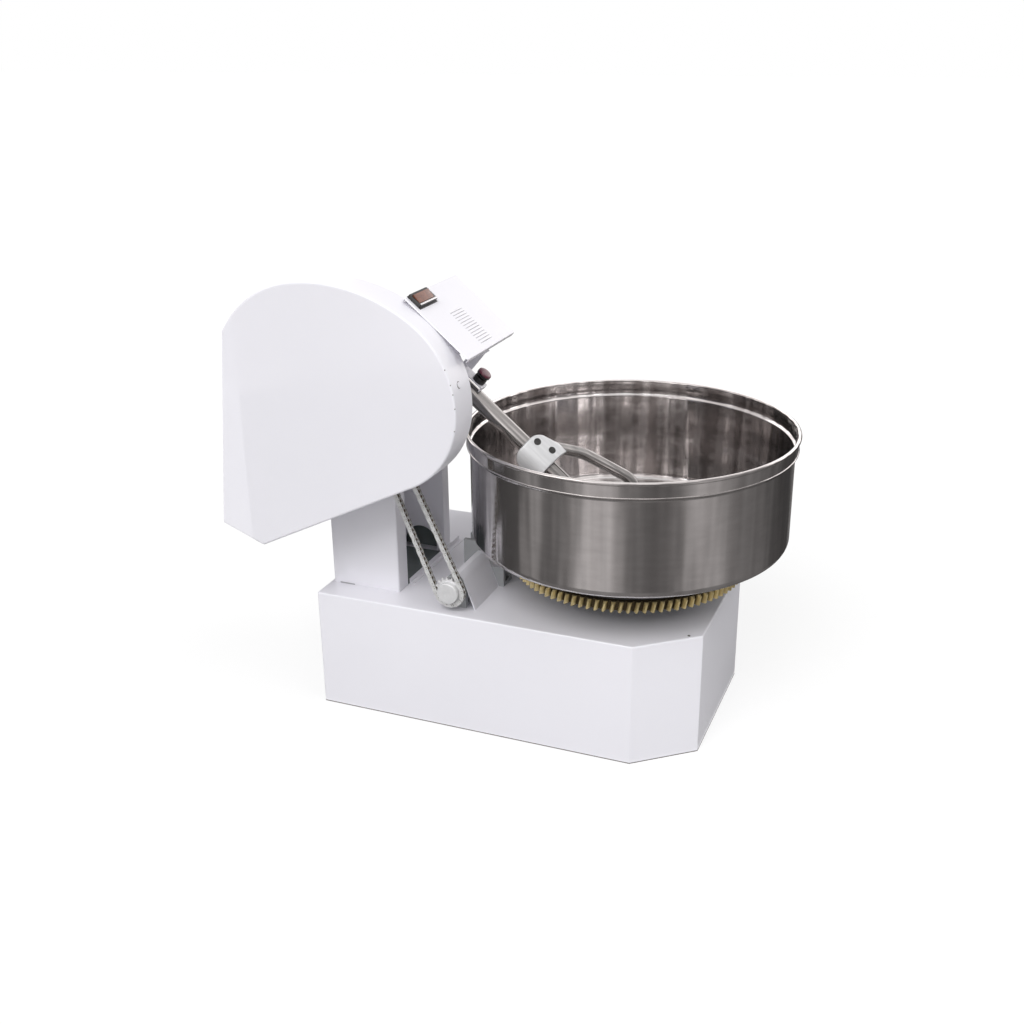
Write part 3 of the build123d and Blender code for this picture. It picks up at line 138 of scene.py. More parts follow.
FORK_TILT = math.radians(40.0)
FORK_ROLL = math.radians(59.0)
ALONG = (math.cos(FORK_TILT), 0.0, -math.sin(FORK_TILT))
ACROSS = (math.sin(FORK_TILT), 0.0, math.cos(FORK_TILT))
UPRIGHT = Axes(ZERO, (1.0, 0.0, 0.0), (0.0, 1.0, 0.0), (0.0, 0.0, 1.0))
FACING = Axes(ZERO, (1.0, 0.0, 0.0), (0.0, 0.0, 1.0), (0.0, -1.0, 0.0))
HEAD = Axes(tuple(pivot("fork_spin")), ALONG, UPRIGHT.y, ACROSS)
FORK = HEAD.rolled(FORK_ROLL)


def rounded(corners: np.ndarray, radius: float, steps: int = 6) -> np.ndarray:
    """Rounds every corner of a closed outline.

    Each corner becomes an arc about the point that lies radius / sin(half angle) inside it.

    Args:
        corners: Corners in order, anticlockwise, as rows of two, no three of them in line.
        radius: Arc radius.
        steps: Points on each arc.

    Returns:
        The outline's points as rows of two.
    """
    back = np.roll(corners, 1, axis=0) - corners
    ahead = np.roll(corners, -1, axis=0) - corners
    back /= np.linalg.norm(back, axis=1, keepdims=True)
    ahead /= np.linalg.norm(ahead, axis=1, keepdims=True)
    half = np.arccos(np.clip(np.sum(back * ahead, axis=1), -1, 1)) / 2
    inward = (back + ahead) / np.linalg.norm(back + ahead, axis=1, keepdims=True)
    centre = corners + inward * (radius / np.sin(half))[:, None]
    start = corners + back * (radius / np.tan(half))[:, None] - centre
    finish = corners + ahead * (radius / np.tan(half))[:, None] - centre
    first = np.arctan2(start[:, 1], start[:, 0])
    turn = np.arctan2(finish[:, 1], finish[:, 0]) - first
    turn = (turn + np.pi) % (2 * np.pi) - np.pi
    angle = first[:, None] + turn[:, None] * np.linspace(0, 1, steps)
    arcs = centre[:, None, :] + radius * np.stack([np.cos(angle), np.sin(angle)], axis=-1)
    return arcs.reshape(-1, 2)


def rectangle(x0: float, x1: float, y0: float, y1: float) -> np.ndarray:
    """Corners of a rectangle, anticlockwise."""
    return np.array([(x0, y0), (x1, y0), (x1, y1), (x0, y1)])


def arc(centre: Pair | np.ndarray, radius: float, first: float, last: float, steps: int) -> np.ndarray:
    """Points on a circular arc from one angle to another in degrees, as rows of two."""
    angle = np.radians(np.linspace(first, last, steps))
    return np.array(centre) + radius * np.stack([np.cos(angle), np.sin(angle)], axis=-1)


def on_circle(centre: np.ndarray, radius: float, angle: float) -> np.ndarray:
    """Point of a circle at an angle in degrees."""
    return arc(centre, radius, angle, angle, steps=1)[0]


def inset(outline: np.ndarray, distance: np.ndarray | list[float]) -> np.ndarray:
    """Moves an anticlockwise outline inwards by each distance, keeping straight sides parallel.

    A point moves along the sum of its two side normals over one plus their product.

    Args:
        outline: The points as rows of two.
        distance: One distance for each copy.

    Returns:
        An array of copies, points and two coordinates.
    """
    side = np.roll(outline, -1, axis=0) - outline
    side /= np.linalg.norm(side, axis=1, keepdims=True)
    normal = np.stack([-side[:, 1], side[:, 0]], axis=-1)
    before = np.roll(normal, 1, axis=0)
    mitre = (normal + before) / (1 + np.sum(normal * before, axis=1, keepdims=True))
    return outline[None] + np.asarray(distance, float)[:, None, None] * mitre[None]


def raised(ring: np.ndarray, level: float) -> np.ndarray:
    """Gives a ring's points a level as their third coordinate."""
    return np.insert(ring, 2, level, axis=1)


def stepped(outline: np.ndarray, profile: np.ndarray | Profile) -> np.ndarray:
    """Copies an outline at each step of a profile.

    Args:
        outline: Anticlockwise outline as rows of two.
        profile: Rows of inset from the outline and level.

    Returns:
        An array of copies, points and three coordinates.
    """
    inward, level = np.array(profile, dtype=float).T
    rings = inset(outline, inward)
    levels = np.broadcast_to(level[:, None, None], rings.shape[:2] + (1,))
    return np.concatenate([rings, levels], axis=-1)


# Surfaces
@dataclass
class Shell:
    """Points and faces of one closed surface, in world metres."""

    points: np.ndarray
    quads: np.ndarray
    caps: list[np.ndarray] = field(default_factory=list)

    @staticmethod
    def grid(points: np.ndarray, loop: bool = False) -> "Shell":
        """Skins a grid whose columns wrap round: (i, j), (i, j+1), (i+1, j+1), (i+1, j).

        Args:
            points: Rows, columns and three coordinates.
            loop: Whether the last row joins the first; if not, flat caps close both ends.

        Returns:
            The surface with its faces outward.
        """
        rows, columns, _ = points.shape
        i, j = np.meshgrid(np.arange(rows if loop else rows - 1), np.arange(columns), indexing="ij")
        after = (i + 1) % rows * columns
        beside = (j + 1) % columns
        quads = np.stack([i * columns + j, i * columns + beside, after + beside, after + j], axis=-1)
        shell = Shell(points.reshape(-1, 3), quads.reshape(-1, 4))
        if not loop:
            ring = np.arange(columns)
            shell.caps = [ring[::-1], ring + (rows - 1) * columns]
        return shell.outward()

    def outward(self) -> "Shell":
        """Turns the faces round if the volume, the sum of a . (b x c) over triangles, is negative.

        Returns:
            The same surface.
        """
        middle = self.points.mean(axis=0)
        a, b, c, d = (self.points[self.quads[:, k]] - middle for k in range(4))
        total = np.sum(a * np.cross(b, c)) + np.sum(a * np.cross(c, d))
        for cap in self.caps:
            ring = self.points[cap] - middle
            total += np.sum(ring[0] * np.cross(ring[1:-1], ring[2:]))
        if total < 0:
            self.quads = self.quads[:, ::-1]
            self.caps = [cap[::-1] for cap in self.caps]
        return self

    @staticmethod
    def joined(shells: list["Shell"]) -> "Shell":
        """Puts several surfaces into one.

        Args:
            shells: The surfaces.

        Returns:
            One surface with all their points and faces.
        """
        starts = np.cumsum([0] + [len(shell.points) for shell in shells[:-1]])
        points = np.concatenate([shell.points for shell in shells])
        quads = np.concatenate([shell.quads + start for shell, start in zip(shells, starts)])
        caps = [cap + start for shell, start in zip(shells, starts) for cap in shell.caps]
        return Shell(points, quads, caps)

    def piece(self, name: str, finish: "Finish", *nodes: str, body: Body = Body.FRAME) -> None:
        """Makes the surface an object that rides on a body.

        Args:
            name: The object's name.
            finish: Its finish.
            nodes: CAD nodes that it stands for.
            body: The body that it rides on.
        """
        data = bpy.data.meshes.new(name)
        data.from_pydata(self.points.tolist(), [], self.quads.tolist() + [cap.tolist() for cap in self.caps])
        data.polygons.foreach_set("use_smooth", np.ones(len(data.polygons), dtype=bool))
        data.set_sharp_from_angle(angle=SHARP_ANGLE)
        data.materials.append(finish.material())
        data.update()
        made = linked(name, data)
        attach(made, body.value)
        if nodes:
            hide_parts(*nodes)
        LOG.info("%s: %d points", name, len(self.points))


def carried(outline: np.ndarray, profile: np.ndarray | Profile, axes: Axes, loop: bool = False) -> Shell:
    """Carries a profile of (inset, level) steps round an outline that lies in the axes' u and v."""
    return Shell.grid(axes.world(stepped(outline, profile)), loop)


def soft_prism(outline: np.ndarray, low: float, high: float, edge: float, axes: Axes) -> Shell:
    """Solid of an outline between two levels, with quarter-round rims and a flat strip beside each.

    Args:
        outline: Anticlockwise outline in the axes' u and v.
        low: Lower level.
        high: Upper level.
        edge: Radius of the rims.
        axes: Where the outline lies.

    Returns:
        The surface.
    """
    under = arc((edge, low + edge), edge, 270, 180, steps=5)
    over = arc((edge, high - edge), edge, 180, 90, steps=5)
    profile = np.concatenate([[(edge + HOLD, low)], under, over, [(edge + HOLD, high)]])
    return carried(outline, profile, axes)


def soft_box(spans: tuple[float, ...], corner: float, edge: float, axes: Axes) -> Shell:
    """Box from six limits u0, u1, v0, v1, w0, w1 with rounded corners and rims."""
    return soft_prism(rounded(rectangle(*spans[:4]), corner), *spans[4:], edge, axes)


def lathed(profile: np.ndarray | Profile, axes: Axes, steps: int, loop: bool = False) -> Shell:
    """Turns a profile of (radius, level) about w: (r cos a, r sin a, level).

    Args:
        profile: Rows of radius and level.
        axes: Axes whose w is the axis of turning.
        steps: Columns round the axis.
        loop: Whether the profile closes on itself.

    Returns:
        The surface.
    """
    angle = np.linspace(0, 2 * np.pi, steps, endpoint=False)
    radius, level = np.array(profile, dtype=float).T[..., None]
    level = np.broadcast_to(level, (len(profile), steps))
    points = np.stack([radius * np.cos(angle), radius * np.sin(angle), level], axis=-1)
    return Shell.grid(axes.world(points), loop)


# Finishes
class Board:
    """Adds nodes to a tree and links them."""

    def __init__(self, tree: bpy.types.NodeTree) -> None:
        """Keeps the tree that nodes go into."""
        self.tree = tree

    @staticmethod
    def fresh(owner: bpy.types.Material | bpy.types.World) -> "Board":
        """Empties the node tree of a material or world.

        Args:
            owner: The material or world.

        Returns:
            A board on its tree.
        """
        owner.use_nodes = True
        owner.node_tree.nodes.clear()
        return Board(owner.node_tree)

    def add(self, kind: str, inputs: dict[Any, Any] | None = None, **settings: Any) -> bpy.types.Node:
        """Adds a node.

        Args:
            kind: The node's type name, without the leading ShaderNode.
            inputs: Values or sockets by input name or number.
            settings: Properties of the node itself.

        Returns:
            The node.
        """
        node = self.tree.nodes.new("ShaderNode" + kind)
        for key, value in settings.items():
            setattr(node, key, value)
        for key, value in (inputs or {}).items():
            if isinstance(value, Socket):
                self.tree.links.new(value, node.inputs[key])
            else:
                node.inputs[key].default_value = value
        return node

    def math(self, operation: str, *values: Any) -> Socket:
        """Adds a Math node and returns its result."""
        return self.add("Math", dict(enumerate(values)), operation=operation).outputs[0]

    def weighted(self, *terms: tuple[Socket, float]) -> Socket:
        """Adds up values, each times its own share.

        Args:
            terms: Pairs of a value and its share.

        Returns:
            The sum.
        """
        total = 0.0
        for value, share in terms:
            total = self.math("MULTIPLY_ADD", value, share, total)
        return total

    def ramp(self, value: Socket, span: Pair, result: Pair = UNIT) -> Socket:
        """Maps a value from one range to another, held at the ends."""
        limits = dict(zip(("From Min", "From Max", "To Min", "To Max"), span + result))
        return self.add("MapRange", {"Value": value, **limits}).outputs[0]

    def blend(self, share: Socket, first: Triple, second: Triple) -> Socket:
        """Mixes two colours by a share, which may go past nought and one."""
        colours = {0: share, 6: (*first, 1.0), 7: (*second, 1.0)}
        return self.add("Mix", colours, data_type="RGBA", clamp_factor=False).outputs[2]

    def between(self, share: Socket, first: Any, second: Any) -> Socket:
        """Mixes two values by a share."""
        return self.add("Mix", {0: share, 2: first, 3: second}).outputs[0]

    def shared(self, part: Part, vector: Socket, **values: float) -> Socket:
        """Places a shared group with its vector and numbers and returns its one output."""
        tree = bpy.data.node_groups[part.value]
        return self.add("Group", {"Vector": vector, **values}, node_tree=tree).outputs[0]

    def split(self, vector: Socket) -> bpy.types.NodeOutputs:
        """The three parts of a vector."""
        return self.add("SeparateXYZ", {0: vector}).outputs

    def place(self, x: Socket, y: Socket, z: Any = 0.0) -> Socket:
        """Vector of three parts."""
        return self.add("CombineXYZ", {0: x, 1: y, 2: z}).outputs[0]

    def radial(self, vector: Socket) -> Socket:
        """The part of a place that is square to the pattern's third axis."""
        xyz = self.split(vector)
        return self.place(xyz[0], xyz[1])

    def unit(self, vector: Socket) -> Socket:
        """A vector's direction."""
        return self.add("VectorMath", {0: vector}, operation="NORMALIZE").outputs[0]

    def measured(self, operation: str, *vectors: Socket) -> Socket:
        """Adds a Vector Math node and returns its number."""
        return self.add("VectorMath", dict(enumerate(vectors)), operation=operation).outputs["Value"]

    def normal(self) -> Socket:
        """The surface's own direction in the object's axes."""
        return self.add("TexCoord").outputs["Normal"]

    def square_to(self, axis: int) -> Socket:
        """How squarely the surface faces along one of the object's axes, from nought to one."""
        return self.math("ABSOLUTE", self.split(self.normal())[axis])


def new_group(part: Part, *floats: str) -> tuple[Board, bpy.types.NodeOutputs, Socket]:
    """Starts a shared group that takes a vector and some numbers and gives one value.

    Args:
        part: Which group.
        floats: Names of its number inputs.

    Returns:
        Its board, what it is given by name, and the socket for its value.
    """
    tree = bpy.data.node_groups.new(part.value, "ShaderNodeTree")
    tree.interface.new_socket("Vector", in_out="INPUT", socket_type="NodeSocketVector")
    for name in floats:
        tree.interface.new_socket(name, in_out="INPUT", socket_type="NodeSocketFloat")
    tree.interface.new_socket("Value", in_out="OUTPUT", socket_type="NodeSocketFloat")
    given = tree.nodes.new("NodeGroupInput").outputs
    return Board(tree), given, tree.nodes.new("NodeGroupOutput").inputs[0]


def make_groups() -> None:
    """Builds the shared effects: cloudy mottle, marks left by turning, and streaks along an axis."""
    board, given, value = new_group(Part.MOTTLE, "Scale", "Detail")
    noise = board.add("TexNoise", {"Vector": given["Vector"], "Scale": given["Scale"],
                                   "Detail": given["Detail"], "Roughness": 0.6})
    board.tree.links.new(noise.outputs[0], value)

    board, given, value = new_group(Part.TURNED, "Around", "Along", "Detail")
    radial = board.radial(given["Vector"])
    rise = board.math("ADD", board.split(given["Vector"])[2], board.measured("LENGTH", radial))
    turn = board.split(board.unit(radial))
    place = board.place(board.math("MULTIPLY", turn[0], given["Around"]),
                        board.math("MULTIPLY", turn[1], given["Around"]),
                        board.math("MULTIPLY", rise, given["Along"]))
    noise = board.add("TexNoise", {"Vector": place, "Scale": 1.0, "Detail": given["Detail"]})
    board.tree.links.new(noise.outputs[0], value)

    board, given, value = new_group(Part.STREAKS, "Fine", "Long")
    xyz = board.split(given["Vector"])
    place = board.place(board.math("MULTIPLY", xyz[0], given["Long"]),
                        board.math("MULTIPLY", xyz[1], given["Fine"]),
                        board.math("MULTIPLY", xyz[2], given["Fine"]))
    noise = board.add("TexNoise", {"Vector": place, "Scale": 1.0, "Detail": 4.0})
    board.tree.links.new(noise.outputs[0], value)


@dataclass(frozen=True)
class Finish:
    """A finish with a cloudy tone: two colours, two roughnesses and a grain that lifts the surface.

    The pattern's own axes stand at axis_place in metres, turned by axis_turn in radians.
    """

    slot: str
    light: Triple
    dark: Triple
    smooth: float
    rough: float
    metallic: float = 0.0
    coat: float = 0.0
    cloud: float = 9.0
    grain: float = 600.0
    lift: float = 0.02
    name: str = ""
    axis_place: Triple = ZERO
    axis_turn: Triple = ZERO

    def tone(self, board: Board, vector: Socket) -> Socket:
        """The value, about 0 to 1, that picks between the two colours and the two roughnesses."""
        return board.ramp(board.shared(Part.MOTTLE, vector, Scale=self.cloud, Detail=4.0), (0.3, 0.7))

    def height(self, board: Board, vector: Socket) -> Socket:
        """The value that lifts the surface."""
        return board.shared(Part.MOTTLE, vector, Scale=self.grain, Detail=2.0)

    def mottled(self, board: Board, vector: Socket, value: Socket, least: float) -> Socket:
        """Darkens a value in clouds, down to a least share of it."""
        cloud = board.shared(Part.MOTTLE, vector, Scale=self.cloud, Detail=3.0)
        return board.math("MULTIPLY", value, board.ramp(cloud, (0.3, 0.6), (least, 1.0)))

    def material(self) -> bpy.types.Material:
        """Builds the material once and gives the same one from then on.

        Returns:
            A material whose colour, roughness and bump come from its nodes.
        """
        title = "finish_" + (self.name or self.slot)
        made = bpy.data.materials.get(title)
        if made:
            return made
        made = bpy.data.materials.new(title)
        board = Board.fresh(made)
        mapping = board.add("Mapping", {"Vector": board.add("TexCoord").outputs["Object"],
                                        "Location": self.axis_place, "Rotation": self.axis_turn},
                            vector_type="TEXTURE")
        vector = mapping.outputs[0]
        tone = self.tone(board, vector)
        bump = board.add("Bump", {"Height": self.height(board, vector), "Strength": 0.5,
                                  "Distance": self.lift * MM})
        shader = board.add("BsdfPrincipled", {
            "Base Color": board.blend(tone, self.dark, self.light),
            "Roughness": board.ramp(tone, UNIT, (self.rough, self.smooth)),
            "Metallic": self.metallic,
            "Coat Weight": self.coat,
            "Coat Roughness": 0.08,
            "Normal": bump.outputs[0],
        })
        board.add("OutputMaterial", {0: shader.outputs[0]})
        return made


@dataclass(frozen=True)
class TurnedFinish(Finish):
    """Metal turned or spun about an axis, with fine rings round it."""

    around: float = 2.0
    along: float = 900.0

    def height(self, board: Board, vector: Socket) -> Socket:
        """Fine rings."""
        return board.shared(Part.TURNED, vector, Around=self.around * 4, Along=self.along * 1.6, Detail=3.0)


@dataclass(frozen=True)
class SpunFinish(TurnedFinish):
    """Spun sheet: shallow waves that bend reflections, upright streaks and a trace of fine rings, with the streaks
    inside stretched into painted reflection bands.
    """

    waves: float = 10.0
    wave_run: float = 2.0
    ring_share: float = 0.0007
    streaks: float = 11.0
    shares: Triple = (0.45, 0.4, 0.15)
    outer_span: Pair = (0.38, 0.62)
    inner_streak_reflection_span: Pair = (0.43, 0.57)
    inner_streak_reflection_tones: Pair = (-1.0, 1.4)
    floor_around: float = 0.5
    floor_tones: Pair = (0.25, 0.85)

    def tone(self, board: Board, vector: Socket) -> Socket:
        """Mixes slow changes, upright streaks and smudges on the walls, and shows rings on the floor; inside, the
        mix is stretched past both colours as painted reflection bands over the streaks.

        Args:
            board: Board of the material's tree.
            vector: Place in the pattern's axes.

        Returns:
            The tone.
        """
        slow = board.shared(Part.TURNED, vector, Around=self.around, Along=self.cloud, Detail=2.0)
        upright = board.shared(Part.TURNED, vector, Around=self.streaks, Along=self.cloud, Detail=1.0)
        smudge = board.shared(Part.TURNED, vector, Around=self.around * 2, Along=self.along / 20, Detail=3.0)
        mixed = board.weighted(*zip((slow, upright, smudge), self.shares))
        outer = board.ramp(mixed, self.outer_span)
        # Inside, a narrower span stretched past both colours paints reflection bands over the real streaks
        inner = board.ramp(mixed, self.inner_streak_reflection_span, self.inner_streak_reflection_tones)
        wall = board.between(self.inside(board, vector), outer, inner)
        rings = board.shared(Part.TURNED, vector, Around=self.floor_around, Along=self.along / 12, Detail=3.0)
        return board.between(self.flat(board), wall, board.ramp(rings, (0.3, 0.7), self.floor_tones))

    def flat(self, board: Board) -> Socket:
        """One where the sheet lies flat, nought where it stands up."""
        return board.ramp(board.square_to(2), (0.4, 0.9))

    def inside(self, board: Board, vector: Socket) -> Socket:
        """One on surfaces that face the axis, nought on those that face away from it."""
        facing = board.measured("DOT_PRODUCT", board.normal(), board.unit(board.radial(vector)))
        return board.ramp(facing, (-0.6, 0.1), (1.0, 0.0))

    def height(self, board: Board, vector: Socket) -> Socket:
        """Waves round the upright walls plus the rings at a small share.

        Args:
            board: Board of the material's tree.
            vector: Place in the pattern's axes.

        Returns:
            The height.
        """
        rings = TurnedFinish.height(self, board, vector)
        waves = board.shared(Part.TURNED, vector, Around=self.waves, Along=self.wave_run, Detail=1.0)
        swell = board.between(self.flat(board), board.math("SUBTRACT", waves, 0.5), 0.0)
        return board.math("MULTIPLY_ADD", rings, self.ring_share, swell)


@dataclass(frozen=True)
class ToothRootShadeFinish(TurnedFinish):
    """Cut gear whose tone follows the radius: bright teeth and dark roots, which is painted shade between the
    teeth.
    """

    root: float = 0.3425
    flank: float = 0.3505

    def tone(self, board: Board, vector: Socket) -> Socket:
        """Rises from the root radius to the flank, with a slight mottle."""
        radius = board.measured("LENGTH", board.radial(vector))
        return self.mottled(board, vector, board.ramp(radius, (self.root, self.flank)), least=0.75)


@dataclass(frozen=True)
class ChainEdgeShadeFinish(Finish):
    """Chain whose tone follows the surface's own direction: light plate faces and dark edges, which is painted
    shade on the plates' sides.
    """

    def tone(self, board: Board, vector: Socket) -> Socket:
        """One on faces square to the chain's plane, nought on their edges, with a slight mottle."""
        return self.mottled(board, vector, board.ramp(board.square_to(1), (0.5, 0.9)), least=0.8)


@dataclass(frozen=True)
class DrawnFinish(Finish):
    """Metal drawn or ground along the pattern's first axis: long streaks."""

    fine: float = 500.0
    long: float = 14.0

    def tone(self, board: Board, vector: Socket) -> Socket:
        """Long streaks."""
        streaks = board.shared(Part.STREAKS, vector, Fine=self.fine / 6, Long=self.long / 2)
        return board.ramp(streaks, (0.32, 0.68))

    def height(self, board: Board, vector: Socket) -> Socket:
        """Fine scratches."""
        return board.shared(Part.STREAKS, vector, Fine=self.fine, Long=self.long)


BOWL_AXIS = tuple(pivot("bowl_spin") * MM * np.array([1, 1, 0]))
TILT_TURN = (0.0, FORK_TILT, 0.0)
PAINT = Finish("white_paint", (0.86, 0.85, 0.9), (0.845, 0.835, 0.885), 0.28, 0.36, coat=0.25, cloud=2.5,
               grain=420.0, lift=0.025)
STAINLESS = SpunFinish("stainless", (0.74, 0.72, 0.715), (0.50, 0.48, 0.475), 0.10, 0.19, metallic=1.0,
                       cloud=0.8, lift=8.0, axis_place=BOWL_AXIS, around=3.2)
BLACK = Finish("black_plastic", (0.022, 0.022, 0.024), (0.012, 0.012, 0.013), 0.35, 0.5, cloud=40.0,
               grain=1500.0, lift=0.03)
RED = Finish("red_plastic", (0.13, 0.018, 0.04), (0.09, 0.012, 0.028), 0.25, 0.35, coat=0.3, cloud=60.0,
             grain=1500.0, lift=0.01)
AMBER = Finish("amber_plastic", (0.24, 0.075, 0.035), (0.10, 0.03, 0.016), 0.14, 0.22, coat=0.4, cloud=45.0,
               grain=900.0, lift=0.005)
FINISHES = {finish.slot: finish for finish in (
    PAINT, STAINLESS, BLACK, RED, AMBER,
    DrawnFinish("polished_steel", (0.38, 0.37, 0.365), (0.24, 0.235, 0.23), 0.15, 0.26, metallic=1.0,
                lift=0.008, axis_turn=TILT_TURN),
    Finish("machined_steel", (0.62, 0.62, 0.63), (0.5, 0.5, 0.51), 0.24, 0.36, metallic=1.0, cloud=30.0,
           grain=900.0, lift=0.01),
    # The chain's dark colour goes on the plates' edges as painted shade
    ChainEdgeShadeFinish("chain_steel", (0.86, 0.86, 0.86), (0.10, 0.075, 0.05), 0.3, 0.45, metallic=0.35, cloud=90.0,
                grain=700.0),
    Finish("brass", (0.80, 0.66, 0.34), (0.60, 0.47, 0.21), 0.22, 0.38, metallic=1.0, cloud=26.0,
           grain=800.0),
    Finish("cast_iron", (0.16, 0.16, 0.165), (0.10, 0.10, 0.105), 0.45, 0.6, metallic=0.6, cloud=20.0,
           grain=350.0, lift=0.12),
    Finish("motor_paint", (0.115, 0.13, 0.15), (0.085, 0.10, 0.115), 0.38, 0.5, coat=0.15, cloud=8.0,
           grain=500.0, lift=0.03),
    Finish("rotor_steel", (0.46, 0.46, 0.47), (0.34, 0.34, 0.35), 0.3, 0.42, metallic=1.0, cloud=30.0,
           grain=900.0, lift=0.01),
    Finish("rubber", (0.03, 0.03, 0.032), (0.018, 0.018, 0.019), 0.6, 0.75, cloud=50.0, grain=900.0,
           lift=0.05),
)}
SATIN = DrawnFinish("stainless", (0.64, 0.65, 0.66), (0.52, 0.53, 0.54), 0.36, 0.46, metallic=0.5, lift=0.012,
                    axis_turn=TILT_TURN, name="saddle_satin")
CHROME = Finish("polished_steel", (0.86, 0.86, 0.87), (0.78, 0.78, 0.79), 0.06, 0.12, metallic=1.0,
                name="switch_chrome", lift=0.003)
# Near-black bolt heads: painted shade for the saddle's bolt recesses
BOLT_RECESS_SHADE = Finish("polished_steel", (0.06, 0.06, 0.06), (0.03, 0.03, 0.03), 0.4, 0.55, metallic=0.6,
                   name="bolt_recess_shade", cloud=80.0)
ZINC = Finish("machined_steel", (0.86, 0.86, 0.87), (0.76, 0.76, 0.77), 0.4, 0.5, metallic=0.35, cloud=40.0,
              name="zinc_plate", lift=0.01)
# The teeth's dark colour fills the roots between the teeth as painted shade
TEETH = ToothRootShadeFinish("brass", (0.88, 0.72, 0.37), (0.09, 0.065, 0.03), 0.28, 0.5, metallic=0.55, cloud=40.0,
                    axis_place=BOWL_AXIS, name="ring_teeth")
# Grey painted shade for the louvres' open slots and for the line at the front post's foot
LOUVRE_SHADE = Finish("white_paint", (0.5, 0.5, 0.52), (0.42, 0.42, 0.44), 0.5, 0.6, name="louvre_shade")
# Grey that darkens the brackets and transfer case under the bowl: painted shade
BRACKET_SHADE_GREY = Finish("white_paint", (0.40, 0.41, 0.42), (0.34, 0.35, 0.36), 0.45, 0.55, cloud=6.0, grain=420.0,
                name="bracket_painted_shade")
# Dark grey-green painted shade for the space between the column's posts and behind the arch
COLUMN_SHADE = Finish("white_paint", (0.17, 0.195, 0.195), (0.13, 0.15, 0.15), 0.5, 0.65, cloud=12.0,
                    grain=300.0, lift=0.05, name="column_painted_shade")
# Dark bare steel for the screw, plug ring and worn spots, and painted contact shadow along the cabinet's foot
BARE_MARK_AND_SHADOW = Finish("machined_steel", (0.20, 0.18, 0.17), (0.12, 0.11, 0.10), 0.5, 0.65, metallic=0.3,
                   cloud=200.0, name="bare_mark_and_foot_shadow")


def dress_cad() -> None:
    """Gives every CAD node the finish of its own material slot, or one of its own."""
    # The shaft brackets and transfer case take a grey that is painted shade from the bowl
    own = {"driven_sprocket": ZINC, "drive_sprocket": ZINC, "input_shaft": ZINC, "ring_gear": TEETH,
           "cover_screws": PAINT, "shaft_brackets": BRACKET_SHADE_GREY, "transfer_case": BRACKET_SHADE_GREY}
    for item in frame["record"]["subparts"]:
        node = item["node"]
        finish = own.get(node, FINISHES[item["material_slot"]])
        data = frame["nodes"][node].data
        data.materials.clear()
        data.materials.append(finish.material())


# Sub-assemblies
@dataclass
class Cabinet:
    """Folded cabinet base with two cut corners."""

    half_length: float = 600.0
    half_width: float = 392.5
    height: float = 388.0
    cut_x: float = 171.0
    cut_y: float = 140.0
    corner: float = 7.0
    edge: float = 5.0
    wall: float = 4.0
    hole: float = 81.0
    foot_shadow: Profile = ((-0.2, 0.0), (-0.5, 0.4), (-0.5, 2.4), (0.0, 3.0))
    screw: Pair = (561.0, -266.0)
    screw_head: Profile = ((4.2, -0.5), (4.2, 0.9), (3.6, 1.7), (2.4, 2.2), (1.5, 2.2), (1.4, 1.4),
                           (0.6, 1.4))

    def outline(self) -> np.ndarray:
        """Goes round a rectangle with both corners at the bowl's end cut off.

        Returns:
            The walls' outline.
        """
        x, y = self.half_length, self.half_width
        corners = np.array([(-x, -y), (x - self.cut_x, -y), (x, self.cut_y - y), (x, y - self.cut_y),
                            (x - self.cut_x, y), (-x, y)])
        return rounded(corners, self.corner, steps=8)

    def build(self) -> None:
        """Makes the shell, a dark band along its foot as painted contact shadow, and the one screw in its top."""
        self.build_shell()
        foot_shadow = ((self.wall, 0.0), *self.foot_shadow, (self.wall, self.foot_shadow[-1][1]))
        carried(self.outline(), foot_shadow, UPRIGHT, loop=True).piece("cabinet_foot_shadow", BARE_MARK_AND_SHADOW)
        lathed(self.screw_head, UPRIGHT.moved(*self.screw, self.height), 24).piece("cabinet_screw", BARE_MARK_AND_SHADOW)

    def build_shell(self) -> None:
        """Skins the walls and top down to the pivot's hole and back inside the sheet."""
        outline = self.outline()
        over = arc((self.edge, self.height - self.edge), self.edge, 180, 90, steps=6)
        outside = stepped(outline, np.concatenate([[(0, 0)], over, [(self.edge + HOLD, self.height)]]))
        axis = pivot("bowl_spin")[:2]
        away = outline - axis
        rim = axis + self.hole * away / np.linalg.norm(away, axis=1, keepdims=True)
        low = self.height - self.wall
        inner = inset(outline, [self.wall])[0]
        inside = [raised(rim, self.height), raised(rim, low), raised(inner, low), raised(inner, 0.0)]
        points = UPRIGHT.world(np.concatenate([outside, inside]))
        Shell.grid(points, loop=True).piece("cabinet_shell", PAINT, "base_shell")


